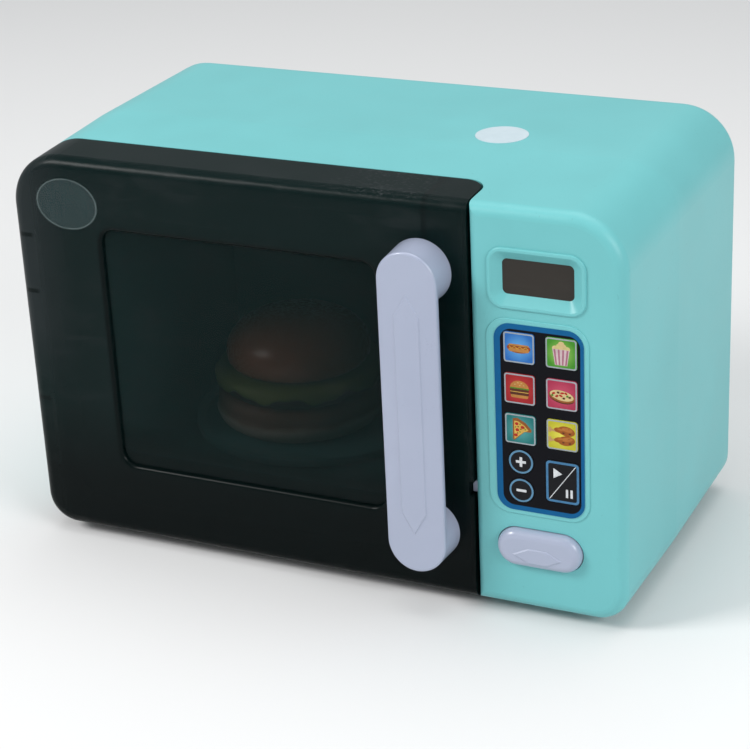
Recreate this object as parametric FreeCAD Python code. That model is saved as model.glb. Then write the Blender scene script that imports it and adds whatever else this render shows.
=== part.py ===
import FreeCAD, Part
import math
import os

Vector = FreeCAD.Vector

# Overall form in millimetres: +Z up, front towards -Y, the feet stand on Z = 0.
body_width = 286.0
body_depth = 148.0
body_top = 187.0
foot_height = 5.0
side_draft = 1.5
top_draft = 2.0
draft_depth = 64.0
top_corner_radius = 24.0
bottom_corner_radius = 14.0
front_edge_radius = 5.2
rear_edge_radius = 5.0
shell_wall = 2.2
column_width = 66.1
column_edge_radius = 3.0

# Door tray and its hinge on the left.
door_depth = 25.0
door_wall = 3.2
door_side_gap = 0.8
door_rear_gap = 0.5
door_plan_radius = 10.0
window_radius = 6.5
window_recess = 2.2
window_round = 2.1
window_left_margin = 44.3
window_right_margin = 41.6
window_top_margin = 31.0
window_bottom_margin = 36.1
hinge_inset = 5.0
hinge_stand = 12.5
hinge_pin_radius = 1.5
hinge_running_gap = 0.05
hinge_swing_gap = 0.35
hinge_rib = 2.4
lug_radius = 2.7
lug_height = 23.4
lug_end_gap = 0.4
lug_front_gap = 1.9
lug_offset = 39.6

# Handle on the door.
handle_reach = 16.0
handle_inset = 20.7
handle_end_inset = 31.0
handle_half_width = 13.2
handle_post_flare = 0.6
handle_post_sink = 0.5
handle_bar = 3.0
handle_rise = 0.4
handle_hexagon_width = 11.0
handle_hexagon_end = 4.5
handle_hexagon_point = 10.0
handle_hexagon_slope = 1.25
handle_crown_radius = 90.0
handle_edge_radius = 1.0

# Mouth frame that stands forward inside the door, and the oven cavity.
collar_depth = 17.5
collar_side_gap = 3.0
collar_right_inset = 14.0
collar_margin = 13.0
collar_radius = 8.0
mouth_side = 18.0
mouth_right = 24.0
mouth_low = 39.0
mouth_high = 27.0
cavity_wall = 2.0
cavity_spread = 4.0
cavity_rear_room = 13.6

# Control column: display, keypad and release button.
panel_right_room = 8.7
panel_low_share = 0.442
panel_middle_share = 0.136
panel_high_share = 0.08
bezel_width = 42.2
bezel_height = 26.3
bezel_radius = 6.8
bezel_rise = 1.0
bezel_rim = 1.6
display_width = 30.5
display_height = 15.1
display_radius = 2.2
lens_margin = 2.0
lens_thickness = 1.2
module_sink = 0.4
plateau_side = 2.9
plateau_end = 2.1
plateau_radius = 9.0
plateau_rise = 0.5
raise_rounding = 0.85
overlay_width = 38.4
overlay_shift = 0.75
overlay_height = 83.8
overlay_radius = 7.0
overlay_thickness = 0.3
key_shift = 1.5
key_pitch = 18.1
key_size = 13.4
key_radius = 1.4
key_row_rise = 31.8
round_key_radius = 5.6
round_key_gap = 2.5
round_key_pitch = 13.2
play_width = 14.9
play_height = 19.2
play_radius = 2.2
key_gap = 0.2
key_rise = 0.3
key_edge_rounding = 0.24
key_flange = 0.9
key_lip = 0.9
key_stem_radius = 2.5
key_stem = 0.7
button_height = 17.0
button_width = 37.4
button_rise = 4.0
button_lip = 0.8
button_flange = 1.2
button_travel = 3.5
button_dome = 3.6
button_gap = 0.4
button_mark_width = 20.0
button_mark_height = 6.0
button_mark_point = 6.0
button_mark_drop = 2.2
button_mark_rise = 0.4

# Door latch and the springs.
latch_rise = 22.8
latch_nose_height = 5.0
latch_nose_depth = 4.0
latch_reach = 1.6
latch_bevel = 1.2
latch_plate = 2.5
latch_gap = 0.3
latch_bar_height = 4.0
latch_foot = 9.0
wedge_leg = 6.0
wedge_gap = 0.28
spring_wire = 0.6
latch_spring_radius = 1.9
latch_spring_length = 10.0
button_spring_radius = 3.0
button_spring_length = 16.6
stop_wall = 2.0

# Electronics behind the panel.
board_thickness = 1.6
board_stand = 7.8
board_side_room = 23.1
board_top_margin = 13.0
board_button_room = 10.5
board_boss_gap = 1.0
board_boss_radius = 3.0
switch_size = 6.0
switch_body = 3.5
switch_plunger = 1.5
switch_plunger_radius = 1.7
speaker_radius = 20.0
speaker_depth = 12.0
speaker_rim = 3.0
speaker_magnet = 3.0
speaker_magnet_radius = 9.0
speaker_inset = 47.0
speaker_drop = 67.0
grille_hole_radius = 1.5
grille_pitch = 6.0
grille_rings = 2
led_radius = 2.5
led_length = 7.0
led_flange = 0.6
lamp_radius = 6.0
lamp_drop = 22.0

# Turntable and its gear train.
turntable_side_gap = 4.0
turntable_plate = 2.4
turntable_rim = 1.2
turntable_rim_width = 4.0
turntable_rim_rounding = 0.48
turntable_clearance = 1.4
hub_shaft_radius = 4.0
hub_flange_radius = 9.0
hub_flange = 1.4
hub_pivot_radius = 2.0
running_gap = 0.05
gear_module = 0.7
gear_pressure_angle = 25.0
gear_addendum = 0.8
gear_dedendum = 1.05
gear_backlash = 0.2
gear_centre_slack = 0.1
gear_width = 2.6
gear_layer_gap = 0.5
hub_teeth = 60
idler_large_teeth = 50
idler_small_teeth = 12
pinion_teeth = 10
idler_axle_radius = 1.5
motor_shaft_radius = 1.0
motor_neck_radius = 3.0
motor_radius = 10.0
motor_flat = 15.0
gearbox_plate_thickness = 2.0
gearbox_margin = 5.0
gearbox_leg_radius = 3.0
gear_floor_gap = 1.0

# Chassis, battery bay, feet and fasteners.
chassis_thickness = 2.2
chassis_margin = 17.0
chassis_screw_inset = 30.0
chassis_screw_edge = 8.0
liner_post_radius = 4.0
liner_post_inset = 6.0
cell_radius = 7.25
cell_length = 49.0
cell_nub_radius = 2.75
cell_nub = 1.5
cell_gap = 0.6
cell_count = 3
contact_thickness = 0.5
contact_pad_radius = 3.0
contact_pad = 1.6
bay_wall = 2.0
bay_right_room = 12.0
bay_seam_room = 8.0
cover_gap = 0.3
cover_ledge = 2.0
grip_length = 24.0
grip_width = 1.4
grip_depth = 0.6
screw_radius = 1.15
screw_pilot_gap = 0.05
screw_clear_gap = 0.5
screw_head_radius = 2.7
screw_head = 1.5
screw_length = 11.0
post_radius = 4.0
post_inset = 11.0
post_rise = 55.0
post_drop = 22.0
foot_radius = 8.0
foot_taper = 1.0
foot_inset = 22.0
foot_front = 38.0
foot_rear = 12.0
tongue_depth = 3.0
tongue_wall = 1.2
tongue_gap = 0.2
vent_count = 9
vent_width = 3.0
vent_height = 36.0
vent_pitch = 8.0
vent_x = -70.0
vent_z = 60.0

# Blank labels and the play food on the turntable.
label_thickness = 0.15
door_label_width = 31.0
door_label_height = 23.5
door_label_inset = 28.7
door_label_drop = 20.5
top_label_radius = 11.5
top_label_inset = 16.5
top_label_back = 15.4
burger_edge = 12.3
burger_forward = 6.7
bun_facets = 4
bun_bottom_height = 17.0
bun_bottom_radius = 39.5
bun_bottom_rounding = 6.0
patty_height = 8.0
patty_radius = 38.0
patty_rounding = 3.0
lettuce_height = 3.0
lettuce_radius = 38.0
lettuce_lobes = 14
lettuce_wave = 2.2
bun_top_height = 24.0
bun_top_radius = 33.5
bun_top_rounding = 4.8
bun_crown = 3.4

# Places worked out from the sizes above.
front_y = (handle_reach - body_depth) / 2
rear_y = front_y + body_depth
inner_rear = rear_y - shell_wall
seam_y = front_y + draft_depth
front_half = body_width / 2 - side_draft
front_top = body_top - top_draft
body_bottom = foot_height
floor_z = body_bottom + shell_wall
column_left = front_half - column_width
door_right = column_left - door_side_gap
rim_y = front_y + door_depth
recess_y = rim_y + door_rear_gap
recess_back = recess_y + shell_wall
panel_back = front_y + shell_wall
hinge_x = hinge_inset - front_half
hinge_y = recess_y - hinge_stand
door_middle = (front_top + body_bottom) / 2
lug_centres = (door_middle - lug_offset, door_middle + lug_offset)
window_x0 = window_left_margin - front_half
window_x1 = door_right - window_right_margin
window_z0 = body_bottom + window_bottom_margin
window_z1 = front_top - window_top_margin
window_middle = (window_z0 + window_z1) / 2
window_half = (window_z1 - window_z0) / 2
handle_x = door_right - handle_inset
handle_ends = (body_bottom + handle_end_inset, front_top - handle_end_inset)
handle_front = front_y - handle_reach
collar_left = hinge_x + hinge_stand + collar_side_gap
collar_right = column_left - collar_right_inset
collar_low = body_bottom + collar_margin
collar_high = front_top - collar_margin
collar_front = recess_y - collar_depth
collar_back = collar_front + shell_wall
mouth_x0 = collar_left + mouth_side
mouth_x1 = collar_right - mouth_right
mouth_z0 = body_bottom + mouth_low
mouth_z1 = front_top - mouth_high
cavity_x0 = mouth_x0 - cavity_spread
cavity_x1 = mouth_x1 + cavity_spread
cavity_z0 = mouth_z0
cavity_z1 = mouth_z1 + cavity_spread
cavity_rear = inner_rear - cavity_rear_room
liner_floor = cavity_z0 - cavity_wall
panel_x = column_left + (column_width - panel_right_room) / 2
plateau_width = overlay_width + 2 * plateau_side
plateau_height = overlay_height + 2 * plateau_end
panel_slack = front_top - body_bottom - button_height - plateau_height - bezel_height
button_z = body_bottom + panel_low_share * panel_slack + button_height / 2
plateau_low = button_z + button_height / 2 + panel_middle_share * panel_slack
pad_z = plateau_low + plateau_height / 2
display_z = plateau_low + plateau_height + panel_high_share * panel_slack + bezel_height / 2
overlay_x = panel_x + overlay_shift
pad_front = front_y - plateau_rise
overlay_front = pad_front - overlay_thickness
key_front = overlay_front - key_rise
key_columns = (panel_x + key_shift - key_pitch / 2, panel_x + key_shift + key_pitch / 2)
key_rows = tuple(pad_z + key_row_rise - key_pitch * row for row in range(3))
round_key_top = key_rows[2] - key_size / 2 - round_key_gap - round_key_radius
round_key_rows = (round_key_top, round_key_top - round_key_pitch)
play_z = sum(round_key_rows) / 2
button_back = panel_back + button_flange
latch_z = button_z + latch_rise
board_front = panel_back + board_stand
board_top = front_top - board_top_margin
board_bottom = button_z + board_button_room
board_width = column_width - board_side_room
lens_back = panel_back + lens_thickness
gear_layer_top = liner_floor - gear_floor_gap
large_gear_z = gear_layer_top - gear_width
small_gear_z = large_gear_z - gear_layer_gap - gear_width
gearbox_top = small_gear_z - gear_floor_gap
gearbox_low = gearbox_top - gearbox_plate_thickness
hub_radius = gear_module * hub_teeth / 2
idler_large_radius = gear_module * idler_large_teeth / 2
idler_small_radius = gear_module * idler_small_teeth / 2
pinion_radius = gear_module * pinion_teeth / 2
turntable_x = (cavity_x0 + cavity_x1) / 2
turntable_y = (collar_back + cavity_rear) / 2
idler_x = turntable_x + hub_radius + idler_small_radius + gear_centre_slack
motor_x = idler_x + idler_large_radius + pinion_radius + gear_centre_slack
turntable_radius = min(cavity_x1 - cavity_x0, cavity_rear - collar_back) / 2 - turntable_side_gap
plate_low = cavity_z0 + turntable_clearance
plate_top = plate_low + turntable_plate + turntable_rim
chassis_low = floor_z + 2 * tongue_gap + tongue_wall
chassis_top = chassis_low + chassis_thickness
chassis_x0 = chassis_margin - front_half
post_x = front_half - post_inset
post_low = body_bottom + post_rise
post_high = body_top - post_drop
motor_bore_low = (chassis_top + gearbox_low) / 2
bay_depth = cell_count * 2 * cell_radius + (cell_count + 1) * cell_gap
bay_length = cell_length + cell_nub + 2 * (contact_thickness + contact_pad)
bay_x1 = front_half - bay_right_room
bay_x0 = bay_x1 - bay_length
bay_front = seam_y + bay_seam_room
bay_rear = bay_front + bay_depth
cell_z = floor_z + cover_gap + cell_radius
bay_top = cell_z + cell_radius + cover_gap
bay_middle_y = (bay_front + bay_rear) / 2
cover_screw_x = bay_x0 - bay_wall - screw_radius
chassis_x1 = cover_screw_x - post_radius - cover_gap
speaker_x = front_half - speaker_inset
speaker_z = body_top - speaker_drop
lamp_z = cavity_z1 - lamp_drop
burger_base = plate_top - turntable_rim
burger_x = turntable_x - (turntable_radius - bun_bottom_radius - burger_edge)
burger_y = turntable_y - burger_forward
top_label_x = column_left - top_label_inset
top_label_y = seam_y + top_label_back


def block(x0, x1, y0, y1, z0, z1):
    return Part.makeBox(x1 - x0, y1 - y0, z1 - z0, Vector(x0, y0, z0))


def rod_x(radius, x0, x1, y, z):
    return Part.makeCylinder(radius, x1 - x0, Vector(x0, y, z), Vector(1, 0, 0))


def rod_y(radius, x, y0, y1, z):
    return Part.makeCylinder(radius, y1 - y0, Vector(x, y0, z), Vector(0, 1, 0))


def rod_z(radius, x, y, z0, z1):
    return Part.makeCylinder(radius, z1 - z0, Vector(x, y, z0), Vector(0, 0, 1))


def on_circle(cx, cz, radius, degrees, y):
    angle = math.radians(degrees)
    return Vector(cx + radius * math.cos(angle), y, cz + radius * math.sin(angle))


def rounded_outline(x0, x1, z0, z1, low_radius, high_radius, y):
    # Closed wire of an upright rectangle with rounded corners, at depth y.
    corners = (
        (x0 + low_radius, z0 + low_radius, low_radius, 180),
        (x1 - low_radius, z0 + low_radius, low_radius, 270),
        (x1 - high_radius, z1 - high_radius, high_radius, 0),
        (x0 + high_radius, z1 - high_radius, high_radius, 90),
    )
    arcs = []
    for cx, cz, radius, start in corners:
        arcs.append([on_circle(cx, cz, radius, start + turn, y) for turn in (0, 45, 90)])
    edges = []
    for place, points in enumerate(arcs):
        edges.append(Part.Arc(*points).toShape())
        following = arcs[(place + 1) % len(arcs)][0]
        if points[2].distanceToPoint(following) > 0.001:
            edges.append(Part.makeLine(points[2], following))
    return Part.Wire(edges)


def tablet(cx, cz, width, height, radius, y0, y1):
    # Plate with rounded corners, facing the front.
    half_width = width / 2
    half_height = height / 2
    wire = rounded_outline(
        cx - half_width, cx + half_width, cz - half_height, cz + half_height, radius, radius, y0
    )
    return Part.Face(wire).extrude(Vector(0, y1 - y0, 0))


def panel_between(x0, x1, z0, z1, radius, y0, y1):
    # The same plate, given by its four sides.
    return Part.Face(rounded_outline(x0, x1, z0, z1, radius, radius, y0)).extrude(Vector(0, y1 - y0, 0))


def prism_z(points, z0, z1):
    corners = [Vector(x, y, z0) for x, y in points]
    return Part.Face(Part.makePolygon(corners + corners[:1])).extrude(Vector(0, 0, z1 - z0))


def prism_y(points, y0, y1):
    corners = [Vector(x, y0, z) for x, z in points]
    return Part.Face(Part.makePolygon(corners + corners[:1])).extrude(Vector(0, y1 - y0, 0))


def turned(profile, x, y):
    # Solid of revolution about a vertical line, from an outline of (radius, height) points.
    corners = [Vector(radius, 0, z) for radius, z in profile]
    face = Part.Face(Part.makePolygon(corners + corners[:1]))
    solid = face.revolve(Vector(0, 0, 0), Vector(0, 0, 1), 360)
    solid.translate(Vector(x, y, 0))
    return solid


def joined(shapes):
    return shapes[0].multiFuse(shapes[1:]).removeSplitter()


def edges_at(shape, y):
    return [edge for edge in shape.Edges if all(abs(v.Point.y - y) < 0.001 for v in edge.Vertexes)]


def body_section(y, inset):
    # Outline of the casing at depth y: the walls widen from the front to the seam.
    share = min(max((y - front_y) / draft_depth, 0), 1)
    half = front_half + side_draft * share - inset
    top = front_top + top_draft * share - inset
    low = bottom_corner_radius - inset
    return rounded_outline(-half, half, body_bottom + inset, top, low, top_corner_radius - inset, y)


def casing_form(y0, y1, inset):
    return Part.makeLoft([body_section(y0, inset), body_section(y1, inset)], True, True)


def front_form():
    form = casing_form(front_y, seam_y, 0)
    return form.makeFillet(front_edge_radius, edges_at(form, front_y))


def door_plan(side_gap, rear_gap):
    # Space of the door seen from above, with its rounded rear corner.
    x1 = door_right + side_gap
    y1 = rim_y + rear_gap
    radius = door_plan_radius
    x0 = -body_width
    y0 = handle_front - handle_reach
    turn = radius * math.sqrt(0.5)
    corner = Part.Arc(
        Vector(x1, y1 - radius, 0),
        Vector(x1 - radius + turn, y1 - radius + turn, 0),
        Vector(x1 - radius, y1, 0),
    ).toShape()
    points = (Vector(x1 - radius, y1, 0), Vector(x0, y1, 0), Vector(x0, y0, 0), Vector(x1, y0, 0))
    edges = [corner]
    for start, end in zip(points, points[1:]):
        edges.append(Part.makeLine(start, end))
    edges.append(Part.makeLine(points[-1], Vector(x1, y1 - radius, 0)))
    return Part.Face(Part.Wire(edges)).extrude(Vector(0, 0, body_top + foot_height))


def screw(x, y, z, direction, length):
    # Pan-head screw: the point is where the head seats, the direction is into the work.
    into = Vector(*direction)
    seat = Vector(x, y, z)
    head = Part.makeCylinder(screw_head_radius, screw_head, seat - into * screw_head, into)
    shank = Part.makeCylinder(screw_radius, length, seat, into)
    slot_depth = screw_head / 2
    slot = Part.makeBox(screw_head_radius, screw_head_radius, slot_depth)
    slot.translate(Vector(-screw_head_radius / 2, -screw_head_radius / 2, -slot_depth / 2))
    slot.Placement = FreeCAD.Placement(
        seat - into * screw_head,
        FreeCAD.Rotation(Vector(0, 0, 1), into),
    ).multiply(slot.Placement)
    return head.fuse(shank).cut(slot).removeSplitter()


def key_places():
    # Name, centre and outline size of every key; round keys have no height.
    names = (("hot_dog", "popcorn"), ("burger", "pasta"), ("pizza", "drumstick"))
    places = []
    for row, pair in enumerate(names):
        for column, name in enumerate(pair):
            places.append((name, key_columns[column], key_rows[row], key_size, key_size, key_radius))
    round_size = 2 * round_key_radius
    for name, z in zip(("plus", "minus"), round_key_rows):
        places.append((name, key_columns[0], z, round_size, round_size, round_key_radius))
    places.append(("play_pause", key_columns[1], play_z, play_width, play_height, play_radius))
    return places


def board_boss_places():
    low = board_bottom + board_boss_radius
    high = display_z + display_height / 2 + lens_margin + board_boss_gap + board_boss_radius
    plate_right = latch_layout()[0] + latch_plate
    reach = panel_x - plate_right - button_travel - latch_gap - board_boss_radius
    return [(panel_x + side * reach, z) for side in (-1, 1) for z in (low, high)]


def rear_post_places():
    return [(side * post_x, z) for side in (-1, 1) for z in (post_low, post_high)]


def chassis_screw_places():
    x_places = (chassis_x0 + chassis_screw_inset, chassis_x1 - chassis_screw_inset)
    y_places = (recess_back + chassis_screw_edge, inner_rear - chassis_screw_edge)
    return [(x, y) for x in x_places for y in y_places]


def hinge_lug(z):
    # Arm from the recess wall to the hinge line.
    low = z - lug_height / 2
    high = z + lug_height / 2
    arm = block(hinge_x - lug_radius, hinge_x + lug_radius, hinge_y, recess_y + shell_wall / 2, low, high)
    return arm.fuse(rod_z(lug_radius, hinge_x, hinge_y, low, high))


def mouth_frame():
    outer = panel_between(
        collar_left, collar_right, collar_low, collar_high, collar_radius, collar_front, recess_back
    )
    inner = panel_between(
        collar_left + shell_wall,
        collar_right - shell_wall,
        collar_low + shell_wall,
        collar_high - shell_wall,
        collar_radius - shell_wall,
        collar_back,
        recess_back + shell_wall,
    )
    return outer, inner


def mouth_cut():
    end = recess_back + shell_wall
    return panel_between(mouth_x0, mouth_x1, mouth_z0, mouth_z1, collar_radius, collar_front, end)


def display_opening():
    wide = rounded_outline(
        panel_x - bezel_width / 2 + bezel_rim,
        panel_x + bezel_width / 2 - bezel_rim,
        display_z - bezel_height / 2 + bezel_rim,
        display_z + bezel_height / 2 - bezel_rim,
        bezel_radius - bezel_rim,
        bezel_radius - bezel_rim,
        front_y - bezel_rise,
    )
    narrow = rounded_outline(
        panel_x - display_width / 2,
        panel_x + display_width / 2,
        display_z - display_height / 2,
        display_z + display_height / 2,
        display_radius,
        display_radius,
        panel_back,
    )
    return Part.makeLoft([wide, narrow], True, True)


def panel_raises():
    root_y = front_y + shell_wall / 2
    bezel_front = front_y - bezel_rise
    bezel = tablet(panel_x, display_z, bezel_width, bezel_height, bezel_radius, bezel_front, root_y)
    bezel = bezel.makeFillet(bezel_rise * raise_rounding, edges_at(bezel, bezel_front))
    plateau = tablet(panel_x, pad_z, plateau_width, plateau_height, plateau_radius, pad_front, root_y)
    plateau = plateau.makeFillet(plateau_rise * raise_rounding, edges_at(plateau, pad_front))
    return [bezel, plateau]


def column_edge_cut():
    # Rounds the upright front edge of the column beside the door.
    radius = column_edge_radius
    x = column_left + radius
    y = front_y + radius
    corner = block(column_left - radius, x, front_y - radius, y, 0, body_top)
    return corner.cut(rod_z(radius, x, y, 0, body_top))


def panel_cuts():
    cuts = [display_opening()]
    for place in key_places():
        cuts.append(key_hole(place, pad_front - shell_wall, panel_back))
    width = button_width + 2 * button_gap
    height = button_height + 2 * button_gap
    cuts.append(tablet(panel_x, button_z, width, height, height / 2, front_y - shell_wall, panel_back))
    return cuts


def key_hole(place, y0, y1):
    # Hole that a key slides in, from depth y0 to y1.
    name, x, z, width, height, radius = place
    return tablet(x, z, width + 2 * key_gap, height + 2 * key_gap, radius + key_gap, y0, y1)


def latch_slot(gap):
    half = latch_nose_height / 2 + gap
    x0 = door_right - 2 * latch_plate
    x1 = column_left + 2 * shell_wall
    y0 = panel_back + latch_plate / 2 - gap
    y1 = panel_back + latch_plate / 2 + latch_nose_depth + gap
    return block(x0, x1, y0, y1, latch_z - half, latch_z + half)


def latch_layout():
    # Shared places of the latch plate, bar and foot: (plate left, bar front, bar low, foot left, foot right).
    plate_left = column_left + shell_wall + 2 * latch_gap
    bar_front = button_back + wedge_leg + button_travel + latch_gap
    bar_low = button_z - latch_bar_height / 2
    foot_left = panel_x - latch_foot
    return plate_left, bar_front, bar_low, foot_left, foot_left + latch_foot


def spring_stops():
    plate_left, bar_front, bar_low, foot_left, foot_right = latch_layout()
    bar_middle = bar_front + latch_plate / 2
    low = body_bottom + shell_wall / 2
    high = button_z + 2 * latch_spring_radius
    x0 = foot_right + latch_spring_length
    reach = latch_spring_radius + stop_wall
    latch_stop = block(x0, x0 + stop_wall, bar_middle - reach, bar_middle + reach, low, high)
    x1 = panel_x + button_width / 2 - button_spring_radius
    y1 = button_back + button_spring_length
    reach = button_spring_radius + stop_wall
    button_stop = block(x1 - reach, x1 + reach, y1, y1 + stop_wall, low, high)
    return [latch_stop, button_stop]


def latch_shelf():
    plate_left, bar_front, bar_low, foot_left, foot_right = latch_layout()
    x0 = column_left + shell_wall / 2
    x1 = plate_left + latch_plate
    top = bar_low - latch_gap
    return block(x0, x1, front_y + shell_wall / 2, bar_front + latch_plate, top - shell_wall, top)


def make_front_housing():
    form = front_form()
    inner = casing_form(panel_back, seam_y + shell_wall, shell_wall)
    shell = form.cut(inner)
    door_space = door_plan(door_side_gap, door_rear_gap)
    wall_space = door_plan(door_side_gap + shell_wall, door_rear_gap + shell_wall)
    recess_wall = form.common(wall_space).cut(door_space)
    outer, hollow = mouth_frame()
    shape = shell.cut(door_space).fuse(recess_wall)
    adds = [outer] + [hinge_lug(z) for z in lug_centres] + panel_raises() + spring_stops() + [latch_shelf()]
    for x, z in rear_post_places():
        start = panel_back - shell_wall / 2 if x > 0 else recess_back - shell_wall / 2
        adds.append(rod_y(post_radius, x, start, inner_rear, z))
    for x, z in board_boss_places():
        adds.append(rod_y(board_boss_radius, x, panel_back - shell_wall / 2, board_front, z))
    shape = shape.multiFuse(adds)
    cuts = [hollow, mouth_cut(), latch_slot(latch_gap), column_edge_cut()] + panel_cuts()
    pilot = screw_radius + screw_pilot_gap
    for x, z in rear_post_places():
        cuts.append(rod_y(pilot, x, inner_rear - screw_length, inner_rear, z))
    for x, z in board_boss_places():
        cuts.append(rod_y(pilot, x, panel_back + screw_pilot_gap, board_front, z))
    for z in lug_centres:
        bore = hinge_pin_radius + hinge_running_gap
        cuts.append(rod_z(bore, hinge_x, hinge_y, z - lug_height, z + lug_height))
    for x, y in chassis_screw_places():
        if y < seam_y:
            cuts.append(chassis_screw_hole(x, y))
    return shape.cut(Part.makeCompound(cuts)).removeSplitter()


def battery_bay():
    wall = bay_wall
    outer = block(
        bay_x0 - wall, bay_x1 + wall, bay_front - wall, bay_rear + wall, body_bottom, bay_top + wall
    )
    hollow = block(bay_x0, bay_x1, bay_front, bay_rear, floor_z - cover_ledge / 2, bay_top)
    return outer, hollow


def cover_seat(gap):
    # Plate-shaped space of the battery cover in the underside.
    return block(
        bay_x0 - cover_ledge / 2 + gap,
        bay_x1 + cover_ledge / 2 - gap,
        bay_front - cover_ledge / 2 + gap,
        bay_rear + cover_ledge / 2 - gap,
        body_bottom,
        floor_z - gap,
    )


def vent_slots():
    slots = []
    for number in range(vent_count):
        x = vent_x + number * vent_pitch
        slots.append(tablet(x, vent_z, vent_width, vent_height, vent_width / 2, inner_rear - 1, rear_y + 1))
    return slots


def grille_holes():
    holes = [rod_y(grille_hole_radius, speaker_x, inner_rear - 1, rear_y + 1, speaker_z)]
    for ring in range(1, grille_rings + 1):
        for step in range(6 * ring):
            spot = on_circle(speaker_x, speaker_z, ring * grille_pitch, 60.0 / ring * step, 0)
            holes.append(rod_y(grille_hole_radius, spot.x, inner_rear - 1, rear_y + 1, spot.z))
    return holes


def make_rear_cover():
    form = casing_form(seam_y, rear_y, 0)
    form = form.makeFillet(rear_edge_radius, edges_at(form, rear_y))
    shell = form.cut(casing_form(seam_y - shell_wall, inner_rear, shell_wall))
    tongue_in = shell_wall + tongue_gap
    tongue = casing_form(seam_y - tongue_depth, seam_y, tongue_in).fuse(
        casing_form(seam_y, seam_y + tongue_depth, shell_wall / 2)
    )
    reach = 2 * tongue_depth
    tongue = tongue.cut(casing_form(seam_y - reach, seam_y + reach, tongue_in + tongue_wall))
    bay_outer, bay_hollow = battery_bay()
    ring_front = inner_rear - speaker_depth / 2
    ring = rod_y(speaker_radius + shell_wall, speaker_x, ring_front, inner_rear, speaker_z)
    ring = ring.cut(rod_y(speaker_radius + cover_gap, speaker_x, seam_y, inner_rear, speaker_z))
    cover_boss = rod_z(post_radius, cover_screw_x, bay_middle_y, body_bottom, bay_top)
    shape = shell.multiFuse([tongue, bay_outer, ring, cover_boss])
    cuts = [bay_hollow, cover_seat(0)] + vent_slots() + grille_holes()
    for x, z in rear_post_places():
        cuts.append(rod_y(screw_radius + screw_clear_gap, x, inner_rear - 1, rear_y + 1, z))
        cuts.append(rod_y(screw_head_radius + screw_clear_gap, x, rear_y - screw_head / 2, rear_y + 1, z))
    for x, y in chassis_screw_places():
        if y > seam_y:
            cuts.append(chassis_screw_hole(x, y))
    shape = shape.cut(Part.makeCompound(cuts))
    pilot_radius = screw_radius + screw_pilot_gap
    pilot = rod_z(pilot_radius, cover_screw_x, bay_middle_y, body_bottom, bay_top - bay_wall)
    return shape.cut(cover_tab(0)).cut(pilot).removeSplitter()


def cover_tab(gap):
    # Space of the battery cover's ear, which takes its screw.
    half = post_radius - gap
    x0 = cover_screw_x - half
    return block(x0, bay_x0, bay_middle_y - half, bay_middle_y + half, body_bottom, floor_z - gap)


def make_battery_cover():
    cover = cover_seat(cover_gap).fuse(cover_tab(cover_gap))
    grip_x = bay_x1 - 2 * grip_width
    y0 = bay_middle_y - grip_length / 2
    y1 = bay_middle_y + grip_length / 2
    grip = block(grip_x, grip_x + grip_width, y0, y1, body_bottom, body_bottom + grip_depth)
    hole = rod_z(screw_radius + screw_clear_gap, cover_screw_x, bay_middle_y, 0, floor_z)
    return cover.cut(grip).cut(hole).removeSplitter()


def make_battery_cover_screw():
    return screw(cover_screw_x, bay_middle_y, body_bottom, (0, 0, 1), screw_length)


def cell_places():
    first = bay_front + cell_gap + cell_radius
    return [first + number * (2 * cell_radius + cell_gap) for number in range(cell_count)]


def make_battery_cells():
    # The cells lie side by side and point left and right in turn.
    cells = []
    low = bay_x0 + contact_thickness + contact_pad
    high = low + cell_nub + cell_length
    for number, y in enumerate(cell_places()):
        if number % 2 == 0:
            can = rod_x(cell_radius, low, low + cell_length, y, cell_z)
            nub = rod_x(cell_nub_radius, low + cell_length, high, y, cell_z)
        else:
            can = rod_x(cell_radius, low + cell_nub, high, y, cell_z)
            nub = rod_x(cell_nub_radius, low, low + cell_nub, y, cell_z)
        cells.append(can.fuse(nub).removeSplitter())
    return Part.makeCompound(cells)


def make_battery_contacts():
    strips = []
    low = cell_z - cell_radius / 2
    high = cell_z + cell_radius / 2
    far = bay_x1 - contact_thickness
    for strip_x, pad_x in ((bay_x0, bay_x0 + contact_thickness), (far, far - contact_pad)):
        strip = block(strip_x, strip_x + contact_thickness, bay_front, bay_rear, low, high)
        for y in cell_places():
            strip = strip.fuse(rod_x(contact_pad_radius, pad_x, pad_x + contact_pad, y, cell_z))
        strips.append(strip.removeSplitter())
    return Part.makeCompound(strips)


def make_rubber_feet():
    feet = []
    for x in (foot_inset - front_half, front_half - foot_inset):
        for y in (front_y + foot_front, rear_y - foot_rear):
            feet.append(Part.makeCone(foot_radius - foot_taper, foot_radius, foot_height, Vector(x, y, 0)))
    return Part.makeCompound(feet)


def make_chassis_plate():
    y0 = recess_back + chassis_thickness
    y1 = inner_rear - chassis_thickness
    plate = block(chassis_x0, chassis_x1, y0, y1, chassis_low, chassis_top)
    adds = []
    for x, y in liner_post_places():
        adds.append(rod_z(liner_post_radius, x, y, chassis_low, liner_floor))
    for x, y in chassis_screw_places():
        adds.append(rod_z(post_radius, x, y, floor_z, floor_z + screw_length + chassis_thickness))
    shape = plate.multiFuse(adds)
    for x, y in chassis_screw_places():
        shape = shape.cut(rod_z(screw_radius + screw_pilot_gap, x, y, 0, floor_z + screw_length))
    return shape.removeSplitter()


def chassis_screw_hole(x, y):
    # Clearance hole with a sunk seat for the head, in the floor of the casing.
    hole = rod_z(screw_radius + screw_clear_gap, x, y, 0, floor_z)
    return hole.fuse(rod_z(screw_head_radius + screw_clear_gap, x, y, 0, body_bottom + screw_head / 2))


def liner_post_places():
    x_places = (cavity_x0 + liner_post_inset, cavity_x1 - liner_post_inset)
    y_places = (recess_back + chassis_screw_edge, cavity_rear - liner_post_inset)
    return [(x, y) for x in x_places for y in y_places]


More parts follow.
